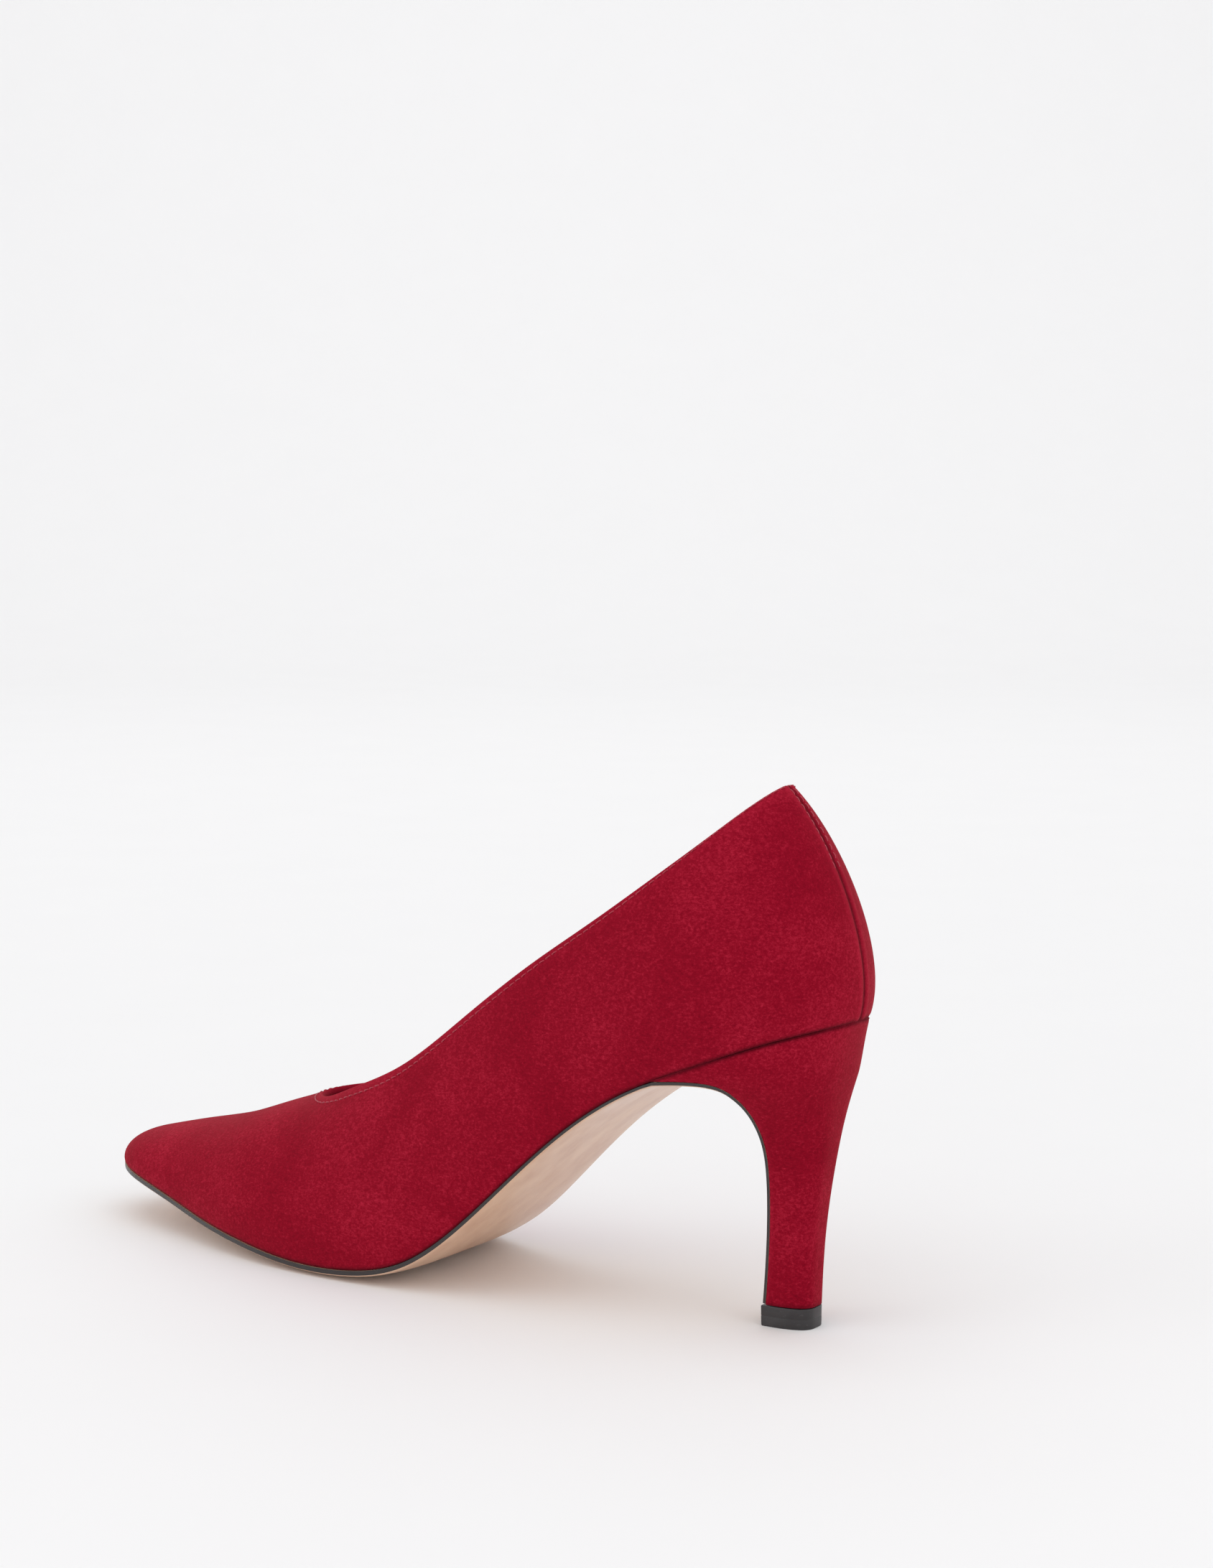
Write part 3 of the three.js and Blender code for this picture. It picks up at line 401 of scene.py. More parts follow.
class Skin:
    """Gathers grids of points into one mesh, with values carried on the points."""

    def __init__(self, name: str) -> None:
        """Starts an empty mesh.

        Args:
            name: the piece's name.
        """
        self.name = name
        self.points: list[Grid] = []
        self.faces: list[Grid] = []
        self.values: dict[str, list[Grid]] = {}
        self.count = 0

    def add(self, grid: Grid, flip: bool = False, **values: Grid | float) -> None:
        """Adds a grid of points as quads.

        Args:
            grid: rows by columns by 3, in the row frame in metres.
            flip: turns the faces round.
            **values: one number for each point, or one for all, by attribute name.
        """
        rows, columns = grid.shape[:2]
        index = np.arange(rows * columns).reshape(rows, columns) + self.count
        a, b = index[:-1, :-1], index[:-1, 1:]
        c, d = index[1:, 1:], index[1:, :-1]
        order = (a, d, c, b) if flip else (a, b, c, d)
        self.faces.append(np.stack([k.ravel() for k in order], axis=1))
        self.points.append(grid.reshape(-1, 3))
        for key in set(self.values) | set(values):
            before = self.values.setdefault(key, [np.zeros(self.count)])
            given = np.broadcast_to(np.asarray(values.get(key, 0.0), float), (rows, columns))
            before.append(given.ravel())
        self.count += rows * columns

    def build(self, weld: float = 2e-6, sharp: float = 50.0) -> Piece:
        """Makes the object.

        Args:
            weld: distance under which points are merged, in metres.
            sharp: angle in degrees above which an edge is shaded sharp.

        Returns:
            The object, at the origin, with outward faces.
        """
        mesh = bpy.data.meshes.new(self.name)
        mesh.from_pydata(np.concatenate(self.points).tolist(), [],
                         np.concatenate(self.faces).tolist())
        for key, parts in self.values.items():
            layer = mesh.attributes.new(key, "FLOAT", "POINT")
            layer.data.foreach_set("value", np.concatenate(parts).astype(np.float32))
        work = bmesh.new()
        work.from_mesh(mesh)
        bmesh.ops.remove_doubles(work, verts=work.verts, dist=weld)
        bmesh.ops.dissolve_degenerate(work, edges=work.edges, dist=weld)
        bmesh.ops.recalc_face_normals(work, faces=work.faces)
        work.to_mesh(mesh)
        work.free()
        mesh.shade_smooth()
        mesh.set_sharp_from_angle(angle=math.radians(sharp))
        return linked(self.name, mesh)


# ---- Shader building ----
def srgb(red: int, green: int, blue: int) -> Colour:
    """A display colour as linear light."""
    def linear(v: int) -> float:
        """One channel."""
        s = v / 255
        return s / 12.92 if s <= 0.04045 else ((s + 0.055) / 1.055) ** 2.4

    return linear(red), linear(green), linear(blue)


class Web:
    """A node tree with short calls for the nodes that the finishes use."""

    def __init__(self, tree: Tree) -> None:
        """Wraps a tree."""
        self.tree = tree

    def node(self, kind: str, **settings: object) -> Node:
        """Adds a node and sets its properties."""
        made = self.tree.nodes.new(kind)
        for key, value in settings.items():
            setattr(made, key, value)
        return made

    def feed(self, socket: Socket, value: object) -> None:
        """Links a socket to an output, or sets its value."""
        if isinstance(value, Socket):
            self.tree.links.new(value, socket)
        elif isinstance(value, tuple) and len(value) == 3 and socket.type == "RGBA":
            socket.default_value = (*value, 1.0)
        else:
            socket.default_value = value

    def fed(self, kind: str, given: dict[str | int, object], **settings: object) -> Node:
        """Adds a node, sets its properties and feeds its inputs."""
        made = self.node(kind, **settings)
        for key, value in given.items():
            self.feed(made.inputs[key], value)
        return made

    def coords(self) -> Socket:
        """Object coordinates."""
        return self.node("ShaderNodeTexCoord").outputs["Object"]

    def read(self, name: str) -> Socket:
        """A value carried on the piece's points."""
        return self.node("ShaderNodeAttribute", attribute_name=name).outputs["Fac"]

    def math(self, kind: str, a: object, b: object = 0.0, clamp: bool = False) -> Socket:
        """One step of arithmetic."""
        return self.fed("ShaderNodeMath", {0: a, 1: b}, operation=kind,
                        use_clamp=clamp).outputs[0]

    def stretch(self, vector: object, scale: tuple[float, float, float]) -> Socket:
        """Coordinates scaled along each axis."""
        return self.fed("ShaderNodeMapping", {"Vector": vector, "Scale": scale}).outputs[0]

    def noise(self, vector: object, size_mm: float, detail: float = 3.0,
              rough: float = 0.5, warp: float = 0.0) -> Socket:
        """Noise whose features are about size_mm across."""
        return self.fed("ShaderNodeTexNoise", {
            "Vector": vector, "Scale": 1 / (size_mm * MM), "Detail": detail,
            "Roughness": rough, "Distortion": warp,
        }).outputs["Fac"]

    def cells(self, vector: object, size_mm: float) -> Socket:
        """Distance to the edge inside cells about size_mm across."""
        return self.fed("ShaderNodeTexVoronoi", {"Vector": vector, "Scale": 1 / (size_mm * MM)},
                        feature="DISTANCE_TO_EDGE").outputs["Distance"]

    def ramp(self, value: object, low: float, high: float, to_low: float = 0.0,
             to_high: float = 1.0) -> Socket:
        """A clamped straight map from one range to another."""
        given = dict(enumerate((value, low, high, to_low, to_high)))
        return self.fed("ShaderNodeMapRange", given, clamp=True).outputs[0]

    def blend(self, share: object, a: object, b: object) -> Socket:
        """Two colours mixed by a share."""
        return self.fed("ShaderNodeMix", {0: share, 6: a, 7: b}, data_type="RGBA").outputs[2]

    def bump(self, height: object, strength: float, distance_mm: float) -> Socket:
        """A normal bent by a height."""
        return self.fed("ShaderNodeBump", {
            "Height": height, "Strength": strength, "Distance": distance_mm * MM,
        }).outputs[0]


class Groups:
    """Effects that several finishes share, each a node group built once."""

    def __init__(self) -> None:
        """Builds the groups."""
        self.nap = self._nap()
        self.grain = self._grain()
        self.dirt = self._dirt()

    @staticmethod
    def _start(name: str, inputs: dict[str, float], outputs: Sequence[str]
               ) -> tuple[Tree, Web, Node, Node]:
        """Starts a group with float inputs and outputs."""
        tree = bpy.data.node_groups.new(name, "ShaderNodeTree")
        for key, value in inputs.items():
            made = tree.interface.new_socket(key, in_out="INPUT", socket_type="NodeSocketFloat")
            made.default_value = value
        for key in outputs:
            tree.interface.new_socket(key, in_out="OUTPUT", socket_type="NodeSocketFloat")
        web = Web(tree)
        return tree, web, web.node("NodeGroupInput"), web.node("NodeGroupOutput")

    def _nap(self) -> Tree:
        """Brushed suede: tone of the nap, and the height of its fibres."""
        tree, web, given, out = self._start(
            "Brushed nap", {"Brushing": 1.0, "Fibre": 1.0}, ("Tone", "Height")
        )
        place = web.coords()
        brushed = web.noise(place, 30.0, 3.0, 0.6, 0.6)
        tufts = web.noise(place, 1.3, 3.0, 0.65, 0.3)
        fibre = web.noise(web.stretch(place, (0.6, 1.0, 1.0)), 0.55, 4.0, 0.8)
        wide = web.math("MULTIPLY", web.ramp(brushed, 0.34, 0.68, -0.5, 0.5),
                        given.outputs["Brushing"])
        local = web.math("MULTIPLY", web.math("SUBTRACT", tufts, 0.5), 0.55)
        fine = web.math("MULTIPLY", web.math("SUBTRACT", fibre, 0.5), given.outputs["Fibre"])
        tone = web.math("ADD", web.math("ADD", wide, local), fine)
        web.feed(out.inputs["Tone"], web.math("ADD", tone, 0.5, clamp=True))
        height = web.math("ADD", web.math("MULTIPLY", tufts, 0.5), fibre)
        web.feed(out.inputs["Height"], height)
        return tree

    def _grain(self) -> Tree:
        """Leather grain: pebbles with creases between them."""
        tree, web, given, out = self._start(
            "Leather grain", {"Pebble": 1.0}, ("Crease", "Height")
        )
        place = web.coords()
        cells = web.cells(place, 1.1)
        crease = web.ramp(cells, 0.0, 0.16)
        rolls = web.noise(place, 2.4, 4.0, 0.6)
        height = web.math("ADD", web.math("MULTIPLY", crease, given.outputs["Pebble"]), rolls)
        web.feed(out.inputs["Crease"], web.math("SUBTRACT", 1.0, crease))
        web.feed(out.inputs["Height"], height)
        return tree

    def _dirt(self) -> Tree:
        """Fine dust and rubbed patches, as one mask."""
        tree, web, given, out = self._start("Handling marks", {"Amount": 0.5}, ("Mask",))
        place = web.coords()
        patches = web.ramp(web.noise(place, 17.0, 5.0, 0.65, 0.6), 0.45, 0.75)
        specks = web.ramp(web.noise(place, 0.9, 2.0, 0.6), 0.62, 0.8)
        both = web.math("ADD", web.math("MULTIPLY", patches, 0.7), specks, clamp=True)
        web.feed(out.inputs["Mask"], web.math("MULTIPLY", both, given.outputs["Amount"]))
        return tree

    @staticmethod
    def place(web: Web, group: Tree, **values: float) -> Node:
        """Puts a group in a material with its own values."""
        return web.fed("ShaderNodeGroup", values, node_tree=group)


def new_material(name: str, **constants: object) -> tuple[Material, Web,
                                                          Node]:
    """Starts a material.

    Args:
        name: its name.
        **constants: values for the Principled BSDF, with _ for a space.

    Returns:
        The material, its web and its Principled BSDF.
    """
    material = bpy.data.materials.new(name)
    material.use_nodes = True
    web = Web(material.node_tree)
    shader = material.node_tree.nodes["Principled BSDF"]
    for key, value in constants.items():
        web.feed(shader.inputs[key.replace("_", " ")], value)
    return material, web, shader


def coat(web: Web, shader: Node, colour: object, rough: object, normal: object) -> None:
    """Feeds the three sockets that change over a surface."""
    for key, value in (("Base Color", colour), ("Roughness", rough), ("Normal", normal)):
        web.feed(shader.inputs[key], value)


@dataclass(frozen=True)
class Suede:
    """Dyed suede with a brushed nap."""

    deep: Colour = srgb(116, 0, 24)
    main: Colour = srgb(142, 3, 32)
    # light is both the nap's paler tone and a painted highlight; shade is a painted shade colour
    light: Colour = srgb(186, 34, 60)
    sheen: Colour = srgb(236, 96, 104)
    shade: Colour = srgb(58, 0, 12)

    def build(self, groups: Groups, name: str) -> Material:
        """Makes the material."""
        material, web, shader = new_material(
            name, Sheen_Weight=0.3, Sheen_Roughness=0.4, Sheen_Tint=self.sheen,
            Specular_IOR_Level=0.1, Roughness=0.95,
        )
        nap = Groups.place(web, groups.nap, Brushing=0.22, Fibre=1.5)
        tone = nap.outputs["Tone"]
        lower = web.blend(web.ramp(tone, 0.0, 0.5), self.deep, self.main)
        colour = web.blend(web.ramp(tone, 0.5, 1.0), lower, self.light)
        # painted shade: darker towards shade in the seam groove, along the foot of the upper and
        # heel, and on hidden faces
        colour = web.blend(web.math("MULTIPLY", web.read("crease"), 0.75), colour, self.shade)
        # painted highlight: paler on the seam's ridges, the rolled topline and the heel's breast
        # corners
        colour = web.blend(web.math("MULTIPLY", web.read("ridge"), 0.35), colour, self.light)
        coat(web, shader, colour, web.ramp(tone, 0.0, 1.0, 1.0, 0.86),
             web.bump(nap.outputs["Height"], 0.6, 0.22))
        return material


@dataclass(frozen=True)
class Leather:
    """Smooth finished leather."""

    main: Colour
    tone_shift: Colour
    rough: float = 0.45
    pebble: float = 0.5
    coat: float = 0.0
    bump_mm: float = 0.08

    def build(self, groups: Groups, name: str) -> Material:
        """Makes the material."""
        material, web, shader = new_material(name, Coat_Weight=self.coat, Coat_Roughness=0.25)
        grain = Groups.place(web, groups.grain, Pebble=self.pebble)
        marks = Groups.place(web, groups.dirt, Amount=0.5)
        tone = web.noise(web.coords(), 14.0, 4.0, 0.6)
        colour = web.blend(web.ramp(tone, 0.3, 0.7), self.main, self.tone_shift)
        # darker for the grain's creases, and painted shade where crease marks lining joints and sock
        # edges
        grain_and_shade_dark = web.blend(0.25, colour, (0.0, 0.0, 0.0))
        colour = web.blend(web.math("MULTIPLY", grain.outputs["Crease"], 0.5), colour, grain_and_shade_dark)
        colour = web.blend(web.math("MULTIPLY", web.read("crease"), 0.7), colour, grain_and_shade_dark)
        rough = web.ramp(marks.outputs["Mask"], 0.0, 1.0, self.rough, self.rough + 0.2)
        coat(web, shader, colour, rough, web.bump(grain.outputs["Height"], 0.4, self.bump_mm))
        return material


@dataclass(frozen=True)
class SoleLeather:
    """Polished nude sole leather whose edge is painted black."""

    nude: Colour = srgb(226, 190, 160)
    warm: Colour = srgb(204, 158, 128)
    paint: Colour = srgb(34, 28, 27)
    scuff: Colour = srgb(150, 122, 104)

    def build(self, groups: Groups, name: str) -> Material:
        """Makes the material."""
        material, web, shader = new_material(name, Coat_Weight=0.3, Coat_Roughness=0.22)
        grain = Groups.place(web, groups.grain, Pebble=0.15)
        marks = Groups.place(web, groups.dirt, Amount=0.6)
        place = web.coords()
        tone = web.noise(web.stretch(place, (0.35, 1.0, 1.0)), 9.0, 5.0, 0.6)
        colour = web.blend(web.ramp(tone, 0.3, 0.75), self.nude, self.warm)
        tread = web.read("tread")
        scratch = web.noise(web.stretch(place, (0.12, 1.0, 1.0)), 0.8, 4.0, 0.7)
        scuffs = web.math("MULTIPLY", web.ramp(scratch, 0.5, 0.7), tread)
        colour = web.blend(web.math("MULTIPLY", scuffs, 0.5), colour, self.scuff)
        wave = web.math("MULTIPLY", web.math("SUBTRACT", web.noise(place, 5.0), 0.5), 0.35)
        painted = web.ramp(web.math("ADD", web.read("edge"), wave), 0.46, 0.54)
        colour = web.blend(painted, colour, self.paint)
        rough = web.ramp(marks.outputs["Mask"], 0.0, 1.0, 0.32, 0.55)
        rough = web.math("ADD", rough, web.math("MULTIPLY", painted, 0.06))
        coat(web, shader, colour, rough, web.bump(grain.outputs["Height"], 0.25, 0.05))
        return material


@dataclass(frozen=True)
class Moulded:
    """Moulded plastic or hard rubber."""

    main: Colour
    rough: float = 0.42

    def build(self, groups: Groups, name: str) -> Material:
        """Makes the material."""
        material, web, shader = new_material(name)
        marks = Groups.place(web, groups.dirt, Amount=0.7)
        mask = marks.outputs["Mask"]
        paler = tuple(min(1.0, c * 1.6 + 0.03) for c in self.main)
        height = web.noise(web.coords(), 0.35, 3.0, 0.6)
        coat(web, shader, web.blend(mask, self.main, paler),
             web.ramp(mask, 0.0, 1.0, self.rough, self.rough + 0.25),
             web.bump(height, 0.25, 0.03))
        return material


@dataclass(frozen=True)
class Steel:
    """Drawn or tempered steel with fine draw lines."""

    main: Colour = (0.56, 0.57, 0.58)
    rough: float = 0.3

    def build(self, groups: Groups, name: str) -> Material:
        """Makes the material."""
        material, web, shader = new_material(name, Metallic=1.0)
        lines = web.noise(web.stretch(web.coords(), (0.08, 1.0, 1.0)), 0.4, 4.0, 0.7)
        marks = Groups.place(web, groups.dirt, Amount=0.5)
        dull = tuple(c * 0.55 for c in self.main)
        coat(web, shader, web.blend(marks.outputs["Mask"], self.main, dull),
             web.ramp(lines, 0.2, 0.8, self.rough - 0.1, self.rough + 0.2),
             web.bump(lines, 0.3, 0.02))
        return material


@dataclass(frozen=True)
class Felted:
    """Pressed board, fleece, felt, foam or woven tape: fibres in a matt mass."""

    main: Colour
    fleck: Colour
    fibre_mm: float = 0.6
    weave: bool = False
    pitch_mm: float = 0.5

    def build(self, groups: Groups, name: str) -> Material:
        """Makes the material."""
        material, web, shader = new_material(name, Specular_IOR_Level=0.2)
        place = web.coords()
        fibres = web.noise(place, self.fibre_mm, 5.0, 0.75, 1.2)
        if self.weave:
            threads = web.fed("ShaderNodeTexChecker",
                              {"Vector": place, "Scale": 1 / (self.pitch_mm * MM)})
            fibres = web.math("ADD", web.math("MULTIPLY", threads.outputs["Fac"], 0.5),
                              web.math("MULTIPLY", fibres, 0.5))
        coat(web, shader, web.blend(web.ramp(fibres, 0.35, 0.7), self.main, self.fleck),
             web.ramp(fibres, 0.0, 1.0, 0.98, 0.8), web.bump(fibres, 0.5, 0.12))
        return material


@dataclass(frozen=True)
class Thread:
    """Twisted sewing thread."""

    main: Colour = srgb(196, 58, 78)

    def build(self, groups: Groups, name: str) -> Material:
        """Makes the material."""
        material, web, shader = new_material(
            name, Sheen_Weight=0.3, Sheen_Roughness=0.4, Specular_IOR_Level=0.3
        )
        plies = web.noise(web.coords(), 0.16, 3.0, 0.6)
        dark = tuple(c * 0.5 for c in self.main)
        coat(web, shader, web.blend(web.ramp(plies, 0.35, 0.65), dark, self.main),
             web.ramp(plies, 0.0, 1.0, 0.75, 0.5), web.bump(plies, 0.4, 0.04))
        return material


class Finish(Enum):
    """The finishes of the shoe, by piece."""

    SUEDE = Suede()
    LINING = Leather(srgb(120, 22, 36), srgb(96, 12, 26), rough=0.5)
    SOCK = Leather(srgb(128, 26, 40), srgb(104, 16, 30), rough=0.42, coat=0.1)
    SOLE = SoleLeather()
    TOP_PIECE = Moulded(srgb(44, 41, 42), rough=0.36)
    HEEL_PLASTIC = Moulded(srgb(208, 200, 182), rough=0.5)
    SHANK = Steel((0.42, 0.44, 0.46), rough=0.4)
    TUBE = Steel()
    FASTENER = Steel((0.62, 0.62, 0.6), rough=0.28)
    BOARD = Felted(srgb(190, 168, 136), srgb(150, 124, 92))
    STIFFENER = Felted(srgb(214, 204, 184), srgb(188, 172, 146), fibre_mm=0.9)
    FILLER = Felted(srgb(164, 154, 138), srgb(120, 110, 96), fibre_mm=1.4)
    CUSHION = Felted(srgb(228, 222, 208), srgb(200, 190, 170), fibre_mm=0.8)
    TAPE = Felted(srgb(236, 230, 220), srgb(206, 198, 184), fibre_mm=0.3, weave=True)
    THREAD = Thread()


class Wardrobe:
    """Builds each finish once and puts it on pieces."""

    def __init__(self) -> None:
        """Builds the shared groups."""
        self.groups = Groups()
        self.made: dict[Finish, Material] = {}

    def get(self, finish: Finish) -> Material:
        """The material of a finish."""
        if finish not in self.made:
            self.made[finish] = finish.value.build(self.groups, finish.name.lower())
        return self.made[finish]

    def dress(self, piece: Piece, finish: Finish) -> None:
        """Gives a piece one finish all over."""
        piece.data.materials.clear()
        piece.data.materials.append(self.get(finish))


# ---- Stitches ----
@dataclass
class StitchTree:
    """A Geometry Nodes tree that lays one sunk stitch on each point of a seam.

    The points carry two directions: along, down the seam, and out, away from the surface.
    """

    length: float = 1.9
    thickness: float = 0.34
    lift: float = 0.12
    wobble: float = 0.09
    seed: int = 7
    tree: Tree = field(init=False)

    INPUTS = ("Length", "Thickness", "Lift", "Wobble")
    BENDS = 7
    FACETS = 6

    def __post_init__(self) -> None:
        """Builds the tree."""
        self.tree = bpy.data.node_groups.new("Seam stitches", "GeometryNodeTree")
        face = self.tree.interface
        face.new_socket("Geometry", in_out="INPUT", socket_type="NodeSocketGeometry")
        for name in self.INPUTS:
            face.new_socket(name, in_out="INPUT", socket_type="NodeSocketFloat")
        face.new_socket("Seed", in_out="INPUT", socket_type="NodeSocketInt")
        face.new_socket("Thread", in_out="INPUT", socket_type="NodeSocketMaterial")
        face.new_socket("Geometry", in_out="OUTPUT", socket_type="NodeSocketGeometry")
        web = Web(self.tree)
        given = web.node("NodeGroupInput")
        out = web.node("NodeGroupOutput")
        web.feed(out.inputs[0], self._laid(web, given, self._stitch(web, given)))

    def _stitch(self, web: Web, given: Node) -> Socket:
        """One stitch along X: a thread that dives in at both ends."""
        half = web.math("MULTIPLY", given.outputs["Length"], 0.5)
        start, end = (web.fed("ShaderNodeCombineXYZ", {"X": web.math("MULTIPLY", half, sign)})
                      for sign in (-1.0, 1.0))
        line = web.fed("GeometryNodeCurvePrimitiveLine",
                       {"Start": start.outputs[0], "End": end.outputs[0]})
        cut = web.fed("GeometryNodeResampleCurve",
                      {"Curve": line.outputs[0], "Count": self.BENDS}, mode="COUNT")
        along = web.node("GeometryNodeSplineParameter").outputs["Factor"]
        off = web.math("SUBTRACT", web.math("MULTIPLY", along, 2.0), 1.0)
        drop = web.math("POWER", web.math("ABSOLUTE", off), 3.0)
        sunk = web.math("MULTIPLY", drop, given.outputs["Thickness"])
        height = web.math("SUBTRACT", given.outputs["Lift"], sunk)
        shift = web.fed("ShaderNodeCombineXYZ", {"Z": height})
        bent = web.fed("GeometryNodeSetPosition",
                       {"Geometry": cut.outputs[0], "Offset": shift.outputs[0]})
        radius = web.math("MULTIPLY", given.outputs["Thickness"], 0.5)
        ring = web.fed("GeometryNodeCurvePrimitiveCircle",
                       {"Resolution": self.FACETS, "Radius": radius})
        return web.fed("GeometryNodeCurveToMesh", {
            "Curve": bent.outputs[0], "Profile Curve": ring.outputs[0], "Fill Caps": True,
        }).outputs[0]

    def _laid(self, web: Web, given: Node, stitch: Socket) -> Socket:
        """The stitch on every point, turned to the seam and slightly uneven."""
        along, out = (web.fed("GeometryNodeInputNamedAttribute", {"Name": name},
                              data_type="FLOAT_VECTOR").outputs["Attribute"]
                      for name in ("along", "out"))
        turn = web.fed("FunctionNodeAxesToRotation", {0: out, 1: along},
                       primary_axis="Z", secondary_axis="X")
        wobble = given.outputs["Wobble"]
        spread = web.fed("FunctionNodeRandomValue", {
            2: web.math("MULTIPLY", wobble, -1.0), 3: wobble, "Seed": given.outputs["Seed"],
        }, data_type="FLOAT")
        tilt = web.fed("ShaderNodeCombineXYZ", {"Z": spread.outputs[1]})
        spin = web.fed("FunctionNodeRotateRotation", {0: turn.outputs[0], 1: tilt.outputs[0]},
                       rotation_space="LOCAL")
        lay = web.fed("GeometryNodeInstanceOnPoints", {
            "Points": given.outputs["Geometry"], "Instance": stitch,
            "Rotation": spin.outputs[0],
        })
        real = web.fed("GeometryNodeRealizeInstances", {0: lay.outputs[0]})
        return web.fed("GeometryNodeSetMaterial", {
            "Geometry": real.outputs[0], "Material": given.outputs["Thread"],
        }).outputs[0]

    def sew(self, name: str, points: Grid, along: Grid, out: Grid,
            thread: Material) -> Piece:
        """Sews a row of stitches.

        Args:
            name: the piece's name.
            points: the middle of each stitch, in the row frame in metres.
            along: directions down the seam.
            out: directions away from the surface.
            thread: the thread's material.

        Returns:
            The row as one plain mesh.
        """
        seed_mesh = bpy.data.meshes.new(name + "_points")
        seed_mesh.from_pydata(points.tolist(), [], [])
        for key, ways in (("along", along), ("out", out)):
            layer = seed_mesh.attributes.new(key, "FLOAT_VECTOR", "POINT")
            layer.data.foreach_set("vector", unit(ways).astype(np.float32).ravel())
        holder = linked(name + "_points", seed_mesh)
        modifier = holder.modifiers.new("Stitches", "NODES")
        modifier.node_group = self.tree
        values = {"Length": self.length * MM, "Thickness": self.thickness * MM,
                  "Lift": self.lift * MM, "Wobble": self.wobble, "Seed": self.seed,
                  "Thread": thread}
        for item in self.tree.interface.items_tree:
            if item.in_out == "INPUT" and item.name in values:
                modifier[item.identifier] = values[item.name]
        graph = bpy.context.evaluated_depsgraph_get()
        mesh = bpy.data.meshes.new_from_object(holder.evaluated_get(graph))
        mesh.name = name
        bpy.data.objects.remove(holder)
        for layer in [a for a in mesh.attributes if a.name in ("along", "out")]:
            mesh.attributes.remove(layer)
        mesh.shade_smooth()
        return linked(name, mesh)


def spaced(points: Grid, gap: float) -> Grid:
    """Shares along a line of points at equal distances.

    Args:
        points: the line.
        gap: the distance wanted between places.

    Returns:
        Fractional indices into the line, one for each place.
    """
    run = np.concatenate([[0], np.cumsum(np.linalg.norm(np.diff(points, axis=0), axis=1))])
    count = max(2, int(round(run[-1] / gap)))
    places = (np.arange(count) + 0.5) * run[-1] / count
    return np.interp(places, run, np.arange(len(points)))


# ---- The shoe ----
@dataclass
class Shoe:
    """What all sub-assemblies share: the last, the place in the frame, and the finishes."""

    last: Last
    wardrobe: Wardrobe
    stitches: StitchTree
    tip_back: float = 11.6
    shift: Grid = field(init=False)
    made: list[Piece] = field(default_factory=list)

    def __post_init__(self) -> None:
        """Finds where shoe coordinates lie in the row frame."""
        low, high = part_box("top_piece")
        middle = (low.y + high.y) / 2
        self.shift = np.array([low.x - self.tip_back * MM, middle, 0.0])

    def place(self, points: Grid) -> Grid:
        """Shoe millimetres as row metres."""
        return points * MM + self.shift

    def keep(self, piece: Piece, slot: str, *nodes: str) -> Piece:
        """Registers a piece with the frame.

        Args:
            piece: the finished object.
            slot: the record's material slot.
            *nodes: CAD nodes that it stands for.

        Returns:
            The piece.
        """
        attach(piece, "root")
        if nodes:
            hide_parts(*nodes)
        self.made.append(piece)
        LOG.info("%s: %d faces, slot %s", piece.name, len(piece.data.polygons), slot)
        return piece


